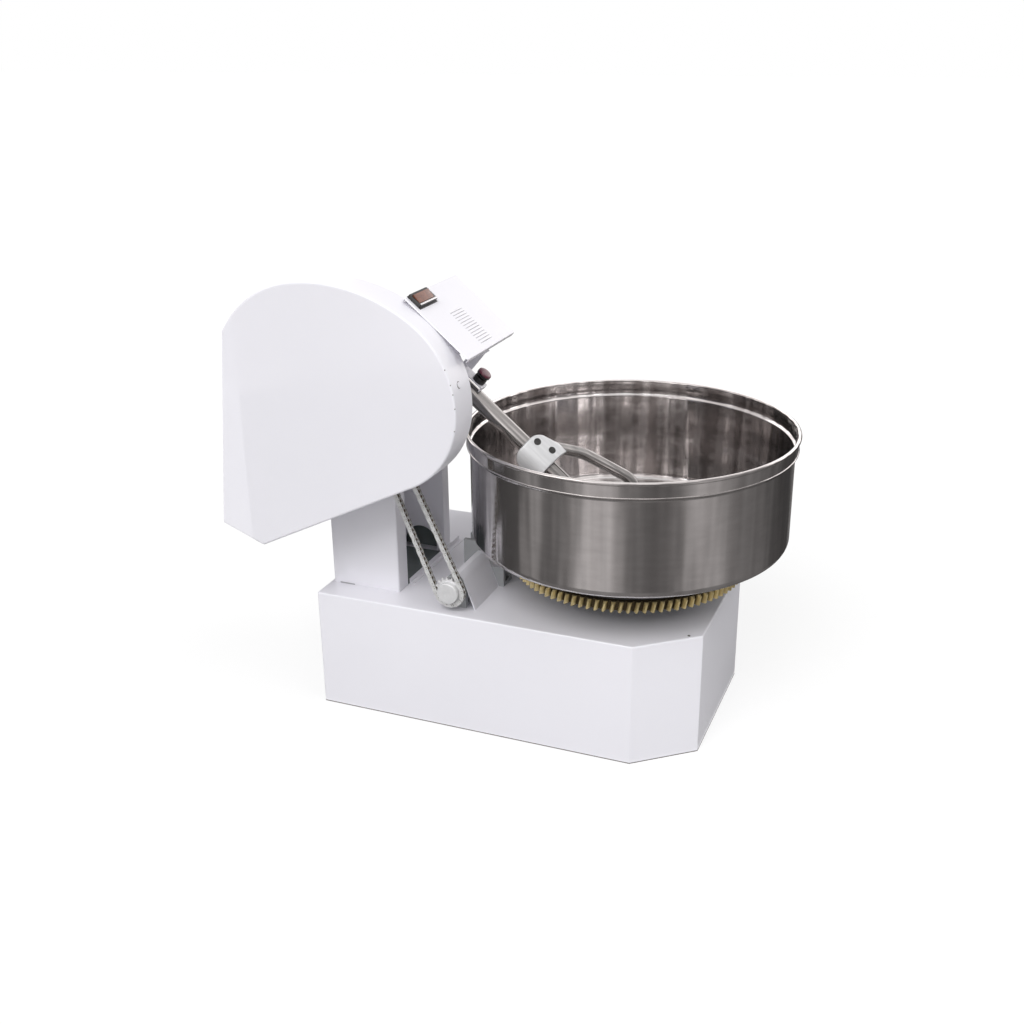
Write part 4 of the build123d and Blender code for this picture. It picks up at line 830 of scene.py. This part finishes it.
@dataclass
class Column:
    """Two posts and a plate that carry the head, with painted shade between them."""

    left: float = -588.0
    right: float = -356.0
    foot: float = 388.0
    top: float = 880.0
    front_post: Pair = (-302.5, -237.5)
    rear_post: Pair = (32.5, 77.5)
    wall: float = 5.0
    corner: float = 6.0
    post_edge: float = 0.6
    side_edge: float = 0.4
    arch_x: float = -442.5
    arch_radius: float = 57.5
    arch_spring: float = 413.5
    arch_edge: float = 1.5
    foot_shade_span: Pair = (-566.0, -514.0)
    foot_shade_depth: Pair = (-0.7, 0.5)
    foot_shade_height: float = 3.5
    foot_shade_corner: float = 0.4
    shade_floor_margins: tuple[float, ...] = (8.0, -1.0, 0.5, -0.5, -0.5, 0.8)
    shade_corner: float = 2.0
    shade_edge: float = 0.3
    arch_shade_reach: float = 75.0
    arch_shade_depth: Pair = (-6.0, 0.2)
    arch_shade_edge: float = 0.5
    plate: float = 16.0
    plate_edge: float = 2.0

    def build(self) -> None:
        """Makes the posts, the painted shade pieces and the plate."""
        self.build_posts()
        self.build_shades()
        plate = (self.left, self.right, self.front_post[0], self.rear_post[1],
                 self.top, self.top + self.plate)
        soft_box(plate, self.corner, self.plate_edge, UPRIGHT).piece("top_plate", PAINT, "column_top_plate")

    def build_posts(self) -> None:
        """Raises a box for the front post, and a face with an arch and a channel for the rear one."""
        post = rounded(rectangle(self.left, self.right, *self.front_post), self.corner)
        shell = soft_prism(post, self.foot, self.top, self.post_edge, UPRIGHT)
        shell.piece("front_post", PAINT, "column_front_post")
        front, back = self.rear_post
        curve = arc((self.arch_x, self.arch_spring), self.arch_radius, 180, 0, steps=25)
        outline = np.concatenate([
            [(self.left, self.foot), (self.arch_x - self.arch_radius, self.foot)],
            curve,
            [(self.arch_x + self.arch_radius, self.foot), (self.right, self.foot),
             (self.right, self.top), (self.left, self.top)],
        ])
        face = soft_prism(outline, -front - self.wall, -front, self.arch_edge, FACING)
        left, right = self.left + self.wall, self.right - self.wall
        near, far = front + self.wall, back - self.wall
        channel = np.array([(self.left, near), (left, near), (left, far), (right, far), (right, near),
                            (self.right, near), (self.right, back), (self.left, back)])
        sides = soft_prism(channel, self.foot, self.top, self.side_edge, UPRIGHT)
        Shell.joined([face, sides]).piece("rear_post", PAINT, "column_rear_post")

    def build_shades(self) -> None:
        """Makes painted shade: a grey line at the front post's foot, a dark sheet on the floor between the posts
        and a dark panel behind the arch.
        """
        # A thin grey strip at the front post's foot: painted shade for the line where the post meets the base
        foot_shade = (*self.foot_shade_span, *np.add(self.front_post[0], self.foot_shade_depth),
               self.foot, self.foot + self.foot_shade_height)
        soft_box(foot_shade, self.foot_shade_corner, self.shade_edge, UPRIGHT).piece("post_foot_shade_line", LOUVRE_SHADE)
        # A dark sheet on the base top between the posts and a dark panel behind the arch: painted shade for the
        # space inside the column
        room = (self.left, self.right, self.front_post[1], self.rear_post[0], self.foot, self.foot)
        shade_floor = soft_box(np.add(room, self.shade_floor_margins), self.shade_corner, self.shade_edge, UPRIGHT)
        arch_shade_span = (self.arch_x - self.arch_shade_reach, self.arch_x + self.arch_shade_reach,
                  *np.add(self.rear_post[1] - self.wall, self.arch_shade_depth),
                  self.foot, self.arch_spring + self.arch_shade_reach)
        arch_shade = soft_box(arch_shade_span, self.shade_corner, self.arch_shade_edge, UPRIGHT)
        Shell.joined([shade_floor, arch_shade]).piece("column_painted_shade", COLUMN_SHADE)


@dataclass
class BeltGuard:
    """Pan-shaped guard over the belts, with a ring round its plug and worn spots on its front edge."""

    face: float = 507.5
    back: float = 394.5
    sheet: float = 2.5
    edge: float = 6.0
    hem: float = 0.6
    bend: float = 10.0
    low_corner: Pair = (-412.1, -461.7)
    bottom_corner: Pair = (-273.7, -516.1)
    bottom_angle: float = 26.1
    bottom_length: float = 572.0
    arcs: Profile = ((250.0, 57.6), (295.4, 62.6), (520.0, 42.0), (330.0, 50.6))
    arc_step: float = 1.6
    clear: float = 0.1
    plug: tuple[int, float, float] = (1, 0.327, 462.5)
    plug_ring: Profile = ((8.6, -0.5), (10.2, -0.5), (10.2, 0.4), (8.6, 0.4))
    chips: tuple[tuple[int, float], ...] = ((1, 0.496), (1, 0.36), (1, 0.277), (1, 0.154), (0, 0.94))
    chip: Profile = ((1.7, -0.4), (1.7, 0.0), (1.2, 0.2), (0.6, 0.25))
    chip_lean: float = 45.0

    def curves(self) -> list[tuple[np.ndarray, float, float, float]]:
        """Works out the arcs, the first from the end of the bottom edge and each along the one before.

        Returns:
            Centre, radius, first angle and sweep of each one.
        """
        start = pivot("main_spin")[[0, 2]] + np.array(self.bottom_corner)
        end = on_circle(start, self.bottom_length, self.bottom_angle)
        heading = self.bottom_angle
        found = []
        for radius, sweep in self.arcs:
            centre = on_circle(end, radius, heading + 90)
            found.append((centre, radius, heading - 90, sweep))
            heading += sweep
            end = on_circle(centre, radius, heading - 90)
        return found

    def outline(self) -> np.ndarray:
        """Follows the arcs, the left edge and the low edge back to the bottom edge.

        Returns:
            The outline in X and Z, anticlockwise seen from the front.
        """
        runs = [arc(centre, radius, first, first + sweep, int(sweep / self.arc_step) + 2)
                for centre, radius, first, sweep in self.curves()]
        low, start = pivot("main_spin")[[0, 2]] + np.array([self.low_corner, self.bottom_corner])
        steps = 6
        corners = np.array([runs[-1][-1], low, start, runs[0][0]])
        bends = rounded(corners, self.bend, steps)[steps:3 * steps]
        line = np.concatenate([*(run[:-1] for run in runs), runs[-1][-1:], bends])
        return inset(line, [self.clear])[0]

    def spot(self, curve: int, share: float, level: float, lean: float) -> Axes:
        """Axes on the rim whose w points out of it.

        Args:
            curve: Which arc of the outline.
            share: How far along the arc.
            level: Distance in front of the machine's middle.
            lean: Turn of w from square to the rim towards the front, in degrees.

        Returns:
            The axes, with u along the rim.
        """
        centre, radius, first, sweep = self.curves()[curve]
        x, z = on_circle(centre, radius, first + share * sweep)
        outward = np.array([x - centre[0], 0.0, z - centre[1]]) / radius
        tilt = math.radians(lean)
        place = np.array([x, -level, z]) - outward * self.edge * (1 - math.cos(tilt))
        along = np.cross(UPRIGHT.y, outward)
        return Axes(tuple(place), tuple(along), UPRIGHT.y, tuple(outward)).rolled(tilt)

    def build(self) -> None:
        """Makes the pan and the marks on it."""
        self.build_pan()
        self.build_marks()

    def build_pan(self) -> None:
        """Skins the face, its rounded rim and the inside of the sheet."""
        middle = (self.edge, self.face - self.edge)
        outer = arc(middle, self.edge, 90, 180, steps=7)
        inner = arc(middle, self.edge - self.sheet, 180, 90, steps=5)
        hem = [(0, self.back + self.hem), (self.hem, self.back), (self.sheet, self.back)]
        profile = np.concatenate([[(self.edge + HOLD, self.face)], outer, hem, inner,
                                  [(self.edge + HOLD, self.face - self.sheet)]])
        carried(self.outline(), profile, FACING).piece("guard_pan", PAINT, "belt_guard")

    def build_marks(self) -> None:
        """Turns the ring round the plug in the rim, and small worn spots along the front edge."""
        ring = lathed(self.plug_ring, self.spot(*self.plug, lean=0.0), 32, loop=True)
        ring.piece("guard_plug_ring", BARE_MARK_AND_SHADOW)
        front = self.face - self.edge * (1 - math.sin(math.radians(self.chip_lean)))
        spots = [lathed(self.chip, self.spot(*chip, front, self.chip_lean), 14) for chip in self.chips]
        Shell.joined(spots).piece("guard_worn_spots", BARE_MARK_AND_SHADOW)


@dataclass
class DriveHub:
    """Plain cap over the lower sprocket's hub and the shaft's end."""

    radius: float = 33.0
    back: float = 375.0
    front: float = 386.5
    edge: float = 3.0
    dimple: Profile = ((6.0, 0.0), (3.0, -0.8), (1.0, -0.8))

    def build(self) -> None:
        """Turns the cap about the shaft: a flat disc with a rounded rim."""
        x, _, z = pivot("input_spin")
        crown = arc((self.radius - self.edge, self.front - self.edge), self.edge, 0, 90, steps=6)
        cap = np.concatenate([[(self.radius - HOLD, self.back), (self.radius, self.back)], crown,
                              np.add(self.dimple, (0, self.front))])
        lathed(cap, FACING.moved(x, z, 0.0), 64).piece("sprocket_cap", ZINC, body=Body.DRIVE)


@dataclass
class ControlBox:
    """Control box on the head: lid with a lip over the guard and pressed louvres, and tray."""

    start: float = -296.0
    end: float = -52.0
    half_width: float = 148.5
    lip: float = 42.0
    lip_drop: float = 0.4
    lip_share: float = 0.7
    low: float = 124.0
    top: float = 168.0
    skirt: float = 14.0
    sheet: float = 2.0
    corner: float = 7.0
    edge: float = 3.0
    tray_end: float = -92.0
    tray_inset: float = 3.0
    tray_gap: float = 0.2
    tray_corner: float = 5.0
    tray_edge: float = 2.0
    louvres: int = 13
    louvre_span: Pair = (-197.0, -78.0)
    louvre_ends: Pair = (-66.0, 14.0)
    louvre_half: float = 2.6
    louvre_rise: float = 1.3
    louvre_roots: Pair = (0.1, 0.4)
    slot_margins: tuple[float, ...] = (2.3, 3.7, 1.5, -1.5, -0.3, 0.2)
    slot_corner: float = 0.5
    slot_edge: float = 0.1

    def build_lid(self) -> None:
        """Skins the lid outside and in, from the face over its rounded rim and up under the skirt.

        The skirt is only a rolled edge along the lip, so that it clears the guard.
        """
        front = -self.half_width - self.lip
        outline = rounded(rectangle(self.start, self.end, front, self.half_width), self.corner, steps=8)
        middle = (self.edge, self.top - self.edge)
        foot = self.top - self.skirt
        profile = np.concatenate([
            [(self.edge + HOLD, self.top)],
            arc(middle, self.edge, 90, 180, steps=6),
            [(0, foot), (self.sheet, foot)],
            arc(middle, self.edge - self.sheet, 180, 90, steps=4),
            [(self.edge + HOLD, self.top - self.sheet)],
        ])
        points = stepped(outline, profile)
        on_lip = outline[:, 1] < front + self.lip_share * self.corner
        lowest = np.where(on_lip, self.top - self.edge - self.lip_drop, foot)
        points[..., 2] = np.maximum(points[..., 2], lowest)
        Shell.grid(HEAD.world(points)).piece("box_lid", PAINT, "control_lid")

    def build_tray(self) -> None:
        """Makes the tray under the lid."""
        side = self.half_width - self.tray_inset
        tray = (self.start + self.tray_inset, self.tray_end, -side, side, self.low,
                self.top - self.sheet - self.tray_gap)
        soft_box(tray, self.tray_corner, self.tray_edge, HEAD).piece("box_tray", PAINT, "control_box")

    def build_louvres(self) -> None:
        """Presses louvres: each is (half-width a, half-length b) with height (1 - b^6) cos(pi a / 2)^0.6.

        The open side of each one is a grey strip under its lip, painted shade for the slot.
        """
        a, b = np.meshgrid(np.linspace(-1, 1, 9), np.linspace(-1, 1, 15), indexing="ij")
        lift = (1 - b**6) * np.clip(np.cos(np.pi * a / 2), 0, 1) ** 0.6
        near, far = self.louvre_ends
        across = (near + far) / 2 + (far - near) / 2 * b
        over = self.top - self.louvre_roots[0] + self.louvre_rise * lift
        under = np.full_like(a, self.top - self.louvre_roots[1])
        lips, slot_shades = [], []
        for place in np.linspace(*self.louvre_span, self.louvres):
            along = place + self.louvre_half * a
            ring = np.concatenate([np.stack([along, across, over], axis=-1),
                                   np.stack([along, across, under], axis=-1)[::-1]])
            lips.append(Shell.grid(HEAD.world(np.swapaxes(ring, 0, 1))))
            strip = np.add((place, place, near, far, self.top, self.top), self.slot_margins)
            slot_shades.append(soft_box(strip, self.slot_corner, self.slot_edge, HEAD))
        Shell.joined(lips).piece("lid_louvres", PAINT)
        Shell.joined(slot_shades).piece("lid_louvre_slot_shade", LOUVRE_SHADE)

    def build(self) -> None:
        """Makes the lid, tray and louvres."""
        self.build_lid()
        self.build_tray()
        self.build_louvres()


@dataclass
class RockerSwitch:
    """Main switch on the lid: frame, chrome front edge, gasket and rocker.

    Margins move the limits of the switch's place, and levels are heights above the lid.
    """

    place: tuple[float, ...] = (-294.5, -248.5, -180.5, -66.5)
    lid: float = 168.0
    surround: tuple[float, ...] = (0.0, 0.0, 5.0, 0.0)
    surround_corner: float = 4.0
    surround_rim: Profile = ((0.0, 0.0), (0.0, 8.0), (0.6, 9.4), (2.0, 10.0))
    window: tuple[float, ...] = (7.0, -7.0, 12.0, -12.0)
    window_corner: float = 1.5
    window_rim: Profile = ((-0.8, 10.0), (0.0, 9.2), (0.0, 3.0))
    front_edge: tuple[float, ...] = (39.2, -1.6, 9.0, -3.0, 9.4, 12.2)
    front_rounds: Pair = (2.2, 1.3)
    gasket: tuple[float, ...] = (-1.0, 5.0, 4.0, 1.0, -0.2, 1.4)
    gasket_rounds: Pair = (3.0, 0.6)
    paddle: Profile = ((-15.0, 8.0), (-13.5, 17.0), (0.0, 12.8), (13.5, 11.0), (15.0, 8.0), (0.0, 5.0))
    paddle_corner: float = 1.2
    paddle_edge: float = 0.8
    paddle_margin: float = 12.3

    def ring(self, margins: tuple[float, ...], corner: float, rim: Profile) -> np.ndarray:
        """Carries a rim round the switch's place: rows of an outline at each (inset, level) step."""
        outline = rounded(rectangle(*np.add(self.place, margins)), corner)
        return stepped(outline, np.add(rim, (0, self.lid)))

    def bar(self, margins: tuple[float, ...], rounds: Pair) -> Shell:
        """Soft box whose six limits stand off the switch's place and the lid by margins."""
        return soft_box(np.add((*self.place, self.lid, self.lid), margins), *rounds, HEAD)

    def build(self) -> None:
        """Makes the frame, its chrome front edge, the gasket and the rocker."""
        points = np.concatenate([self.ring(self.surround, self.surround_corner, self.surround_rim),
                                 self.ring(self.window, self.window_corner, self.window_rim)])
        Shell.grid(HEAD.world(points)).piece("switch_surround", BLACK, "switch_frame")
        self.bar(self.front_edge, self.front_rounds).piece("switch_front_edge", CHROME)
        self.bar(self.gasket, self.gasket_rounds).piece("switch_gasket", BLACK)
        s0, s1, y0, y1 = self.place
        middle = np.array([(s0 + s1) / 2, -self.lid])
        outline = rounded(np.array(self.paddle) * (1, -1) + middle, self.paddle_corner, steps=4)
        sideways = HEAD.rolled(math.radians(-90))
        low, high = y0 + self.paddle_margin, y1 - self.paddle_margin
        shell = soft_prism(outline, low, high, self.paddle_edge, sideways)
        shell.piece("switch_paddle", AMBER, "switch_rocker", body=Body.ROCKER)


@dataclass
class StopButton:
    """Mushroom stop button on its bracket; its levels are heights along its own line."""

    place: float = -21.0
    radius: float = 21.0
    stem: Profile = ((7.3, 50.0), (8.5, 50.0), (8.5, 67.5))
    skirt: float = 1.2
    seam: Profile = ((21.0, 73.8), (20.0, 74.4), (8.0, 74.4))
    cap_rim: Profile = ((17.0, 74.4), (20.4, 74.4))
    crown: float = 5.0
    crown_level: float = 75.6
    crown_sweep: float = 82.0
    crest: Profile = ((8.0, 80.9), (3.0, 81.0))
    collar: Profile = ((9.0, 44.0), (19.0, 44.0), (19.0, 58.0), (18.2, 61.0), (15.5, 62.0), (9.0, 62.0))
    steps: int = 72

    def build(self) -> None:
        """Turns the side, the cap and the collar about the button's own line."""
        axes = HEAD.moved(self.place, 0.0, 0.0)
        low = self.stem[-1][1] + self.skirt
        skirt = arc((self.radius - self.skirt, low), self.skirt, 270, 360, steps=4)
        side = np.concatenate([self.stem, skirt, self.seam])
        # The cap's side is black all round: painted shade for its lower side; the crown is red
        lathed(side, axes, self.steps).piece("stop_shaded_side", BLACK, "stop_cap", body=Body.STOP)
        crown = arc((self.radius - self.crown, self.crown_level), self.crown, 0, self.crown_sweep, steps=8)
        cap = np.concatenate([self.cap_rim, crown, self.crest])
        lathed(cap, axes, self.steps).piece("stop_mushroom", RED, "stop_cap", body=Body.STOP)
        lathed(self.collar, axes, self.steps, loop=True).piece("stop_base_ring", BLACK, "stop_collar")


@dataclass
class ForkSaddle:
    """Curved saddle that holds both tines on the fork shaft."""

    start: float = 202.94
    end: float = 308.94
    start_cut: float = 20.0
    end_cut: float = 9.0
    crest: float = 48.0
    radius: float = 92.0
    sheet: float = 11.0
    start_half: float = 51.0
    end_half: float = 83.0
    flare: float = 1.3
    edge: float = 4.0
    edge_reach: Pair = (100.0, 60.0)
    bolts: Profile = ((22.0, 29.0), (69.0, 41.0))
    dish: Profile = ((10.5, -1.5), (10.5, 0.4), (9.7, 0.8), (8.6, 0.2), (4.7, 0.1), (4.5, 0.5), (3.0, 0.5))

    def height(self, across: np.ndarray | float) -> np.ndarray:
        """Height of the outer face, a circle's arc across the shaft."""
        return self.crest - self.radius + np.sqrt(self.radius**2 - across**2)

    def build(self) -> None:
        """Skins the saddle: along a from 0 to 1, across b from -1 to 1.

        Its start is cut back by |b|^5 and its end by 1 - b^4, each times its own depth, its half-width
        widens along it, and its height is the arc less a small rounded drop near each edge.
        """
        a, b = np.meshgrid(np.linspace(0, 1, 41), np.linspace(-1, 1, 61), indexing="ij")
        first = self.start + self.start_cut * np.abs(b) ** 5
        last = self.end - self.end_cut * (1 - b**4)
        along = first + a * (last - first)
        share = (along - self.start) / (self.end - self.start)
        across = b * (self.start_half + (self.end_half - self.start_half) * share**self.flare)
        lengthways, sideways = self.edge_reach
        near = np.minimum(np.minimum(a, 1 - a) * lengthways, (1 - np.abs(b)) * sideways)
        drop = self.edge * (1 - np.sqrt(1 - np.clip(1 - near / self.edge, 0, 1) ** 2))
        top = self.height(across)
        over = np.stack([along, across, top - drop], axis=-1)
        under = np.stack([along, across, top - self.sheet], axis=-1)
        ring = np.swapaxes(np.concatenate([over, under[::-1]]), 0, 1)
        Shell.grid(FORK.world(ring)).piece("saddle_cover", SATIN, "fork_saddle", body=Body.FORK)
        self.build_bolts()

    def build_bolts(self) -> None:
        """Turns the two sunk bolts as dished discs that follow the saddle's slope, near black as painted shade for
        their recesses.
        """
        discs = []
        for offset, across in self.bolts:
            seat = FORK.moved(self.start + offset, across, self.height(across))
            discs.append(lathed(self.dish, seat.rolled(-math.asin(across / self.radius)), 40))
        Shell.joined(discs).piece("saddle_bolt_heads", BOLT_RECESS_SHADE, "saddle_bolts", body=Body.FORK)


@dataclass
class Bowl:
    """Spun bowl with a rolled rim and a bead below its band.

    The two steps between wall and band are measured from the wall's radius and the bead's level.
    """

    rim_radius: float = 499.8
    rim_level: float = 918.0
    roll: float = 6.0
    band: float = 47.0
    band_foot: float = 5.0
    wall: float = 485.0
    bottom: float = 566.0
    corner: float = 30.0
    floor_hold: float = 3.0
    sheet: float = 4.0
    bead: float = 2.6
    bead_sink: float = 0.6
    outer_step: Profile = ((0.0, -14.0), (1.4, -9.0), (7.2, -4.0))
    inner_step: Profile = ((4.8, 2.0), (3.6, -1.0), (-2.8, -5.0), (-4.0, -9.0))
    steps: int = 288

    def profile(self) -> np.ndarray:
        """Goes from the outer floor up the wall, over the bead and rolled rim, and down inside.

        Returns:
            Rows of radius and level.
        """
        band = self.rim_radius - self.roll
        step = self.rim_level - self.band
        flat = self.wall - self.corner
        bend = (flat, self.bottom + self.corner)
        return np.concatenate([
            [(flat - self.floor_hold, self.bottom)],
            arc(bend, self.corner, 270, 360, steps=12),
            np.add(self.outer_step, (self.wall, step)),
            arc((band - self.bead_sink, step), self.bead, -80, 80, steps=9),
            [(band, step + self.band_foot)],
            arc((band, self.rim_level - self.roll), self.roll, -75, 215, steps=28),
            np.add(self.inner_step, (self.wall, step)),
            arc(bend, self.corner - self.sheet, 360, 270, steps=12),
            [(flat - self.floor_hold, self.bottom + self.sheet)],
        ])

    def build(self) -> None:
        """Turns the bowl about its spindle."""
        x, y, _ = pivot("bowl_spin")
        shell = lathed(self.profile(), UPRIGHT.moved(x, y, 0.0), self.steps)
        shell.piece("bowl_shell", STAINLESS, "bowl", body=Body.BOWL)


# Studio
@dataclass(frozen=True)
class Screen:
    """A ring of the round screen, from one (radius, height) to another, brighter at some azimuths."""

    low: Pair
    high: Pair
    level: float
    lights: tuple[Triple, ...]

    def glow(self, azimuth: np.ndarray) -> np.ndarray:
        """Level plus, for each (centre, width, height), height exp(-(turn / width)^2 / 2).

        Args:
            azimuth: Directions in degrees.

        Returns:
            The light in each direction.
        """
        centre, width, height = np.array(self.lights).T[..., None]
        turn = (azimuth - centre + 180) % 360 - 180
        return self.level + np.sum(height * np.exp(-((turn / width) ** 2) / 2), axis=0)


@dataclass(frozen=True)
class Sun:
    """A wide soft light from far away, with its azimuth, elevation and spread in degrees."""

    name: str
    azimuth: float
    elevation: float
    strength: float
    spread: float


@dataclass
class Studio:
    """White sweep, soft lights and the photograph's camera."""

    azimuth: float = 22.2914
    elevation: float = 21.9351
    roll: float = -0.6742
    lens: float = 43.57
    sensor: float = 36.0
    reach: float = 100.0
    place: Triple = (1.3011, -3.4102, 2.0657)
    ambient: float = 0.62
    floor_half: float = 40.0
    floor_bounce: float = 0.5
    floor_tone: float = 0.3
    floor_glow: float = 0.7
    sun_distance: float = 5.0
    suns: tuple[Sun, ...] = (Sun("key", -8.0, 45.0, 1.55, 36.0), Sun("right", 80.0, 50.0, 0.7, 40.0))
    screen_steps: int = 180
    screen_tint: Triple = (1.0, 0.955, 0.945)
    screens: tuple[Screen, ...] = (
        Screen((0.3, 0.012), (1.15, 0.012), 0.12, ((0.0, 30.0, 0.12), (70.0, 30.0, 0.08))),
        Screen((1.15, 0.01), (1.15, 1.05), 0.04,
               ((-42.0, 5.0, 0.2), (-20.0, 45.0, 0.06), (-2.0, 11.0, 0.42), (30.0, 40.0, 0.05),
                (58.0, 10.0, 0.25), (80.0, 26.0, 0.14), (168.0, 9.0, 0.45), (-142.0, 9.0, 0.4))),
        Screen((1.15, 1.05), (1.15, 1.75), 0.35,
               ((175.0, 14.0, 2.2), (140.0, 8.0, 1.8), (-150.0, 8.0, 2.2), (-90.0, 14.0, 2.2),
                (118.0, 8.0, 1.6), (-20.0, 14.0, 2.0))),
        Screen((1.15, 1.75), (0.45, 2.4), 0.85, ((175.0, 25.0, 0.5), (20.0, 25.0, 0.5), (-80.0, 20.0, 0.4))),
    )

    @staticmethod
    def facing(azimuth: float, elevation: float, roll: float = 0.0) -> np.ndarray:
        """Works out the directions of a camera or light that looks at the middle.

        Args:
            azimuth: Degrees from straight in front towards the bowl's end.
            elevation: Degrees above the floor.
            roll: Degrees about its own line.

        Returns:
            A square of three columns: right, up and back.
        """
        a, e, r = np.radians([azimuth, elevation, roll])
        back = np.array([np.sin(a) * np.cos(e), -np.cos(a) * np.cos(e), np.sin(e)])
        level = np.array([np.cos(a), np.sin(a), 0.0])
        right = np.cos(r) * level + np.sin(r) * np.cross(back, level)
        return np.stack([right, np.cross(back, right), back], axis=1)

    @staticmethod
    def stand(made: bpy.types.Object, facing: np.ndarray, place: Triple | np.ndarray) -> None:
        """Stands a camera or light at a place.

        Args:
            made: The camera or light.
            facing: Its right, up and back as columns.
            place: Where it stands, in metres.
        """
        matrix = np.eye(4)
        matrix[:3, :3] = facing
        matrix[:3, 3] = place
        made.matrix_world = Matrix(matrix.tolist())

    def camera(self) -> None:
        """Sets the camera from its azimuth, elevation and roll."""
        data = bpy.data.cameras.new("photo_camera")
        data.lens = self.lens
        data.sensor_width = self.sensor
        data.clip_end = self.reach
        made = linked("photo_camera", data)
        self.stand(made, self.facing(self.azimuth, self.elevation, self.roll), self.place)
        bpy.context.scene.camera = made

    @staticmethod
    def seen(board: Board) -> Socket:
        """Finds where a camera, glossy or transmission ray looks.

        Args:
            board: Board of the tree.

        Returns:
            One for those rays, nought for the light itself.
        """
        path = board.add("LightPath").outputs
        first = board.math("MAXIMUM", path["Is Camera Ray"], path["Is Glossy Ray"])
        return board.math("MAXIMUM", first, path["Is Transmission Ray"])

    def world(self) -> None:
        """White to look at, and a plain level of light."""
        world = bpy.data.worlds.new("studio")
        bpy.context.scene.world = world
        board = Board.fresh(world)
        strength = board.ramp(self.seen(board), UNIT, (self.ambient, 1.0))
        background = board.add("Background", {"Color": (1, 1, 1, 1), "Strength": strength})
        board.add("OutputWorld", {0: background.outputs[0]})

    def floor(self) -> None:
        """Plain pale floor that keeps the shadow."""
        half = self.floor_half
        data = bpy.data.meshes.new("floor")
        data.from_pydata(raised(rectangle(-half, half, -half, half), 0.0).tolist(), [], [(0, 1, 2, 3)])
        made = bpy.data.materials.new("pale_floor")
        board = Board.fresh(made)
        seen = self.seen(board)
        tone = board.ramp(seen, UNIT, (self.floor_bounce, self.floor_tone))
        matt = board.add("BsdfDiffuse", {"Color": tone})
        glow = board.add("Emission", {"Color": (1, 1, 1, 1),
                                      "Strength": board.ramp(seen, UNIT, (0.0, self.floor_glow))})
        both = board.add("AddShader", {0: matt.outputs[0], 1: glow.outputs[0]})
        board.add("OutputMaterial", {0: both.outputs[0]})
        data.materials.append(made)
        linked("floor", data)

    def lights(self) -> None:
        """Hangs the suns, each some way back along its own line."""
        for sun in self.suns:
            data = bpy.data.lights.new(sun.name, "SUN")
            data.energy = sun.strength
            data.angle = math.radians(sun.spread)
            facing = self.facing(sun.azimuth, sun.elevation)
            self.stand(linked(sun.name, data), facing, facing[:, 2] * self.sun_distance)

    def round_screen(self) -> None:
        """Stands the rings of a round screen about the bowl that only polished metal shows."""
        made = bpy.data.materials.new("round_screen")
        board = Board.fresh(made)
        glow = board.add("Attribute", attribute_name="glow").outputs["Fac"]
        shade = board.add("Emission", {"Color": (*self.screen_tint, 1.0), "Strength": glow})
        board.add("OutputMaterial", {0: shade.outputs[0]})
        steps = self.screen_steps
        azimuth = np.linspace(-180, 180, steps, endpoint=False)
        angle = np.radians(azimuth - 90)
        around = np.stack([np.cos(angle), np.sin(angle)], axis=-1)
        middle = pivot("bowl_spin")[:2] * MM
        k = np.arange(steps)
        beside = (k + 1) % steps
        quads = np.stack([k, beside, beside + steps, k + steps], axis=-1)
        for index, ring in enumerate(self.screens):
            name = f"round_screen_{index}"
            points = np.concatenate([raised(middle + radius * around, height)
                                     for radius, height in (ring.low, ring.high)])
            data = bpy.data.meshes.new(name)
            data.from_pydata(points.tolist(), [], quads.tolist())
            values = np.tile(ring.glow(azimuth), 2)
            data.attributes.new("glow", "FLOAT", "POINT").data.foreach_set("value", values)
            data.materials.append(made)
            screen = linked(name, data)
            screen.visible_camera = False
            screen.visible_diffuse = False
            screen.visible_shadow = False

    def build(self) -> None:
        """Sets the camera, world, floor, lights, screen and plain view settings."""
        bpy.context.scene.view_settings.view_transform = "Standard"
        self.camera()
        self.world()
        self.floor()
        self.lights()
        self.round_screen()


def main() -> None:
    """Builds the studio, finishes and sub-assemblies in order."""
    logging.basicConfig(level=logging.INFO, format="%(message)s")
    Studio().build()
    make_groups()
    dress_cad()
    for assembly in (Cabinet(), Column(), BeltGuard(), DriveHub(), ControlBox(), RockerSwitch(), StopButton(),
                     ForkSaddle(), Bowl()):
        assembly.build()


if __name__ == "__main__":
    main()
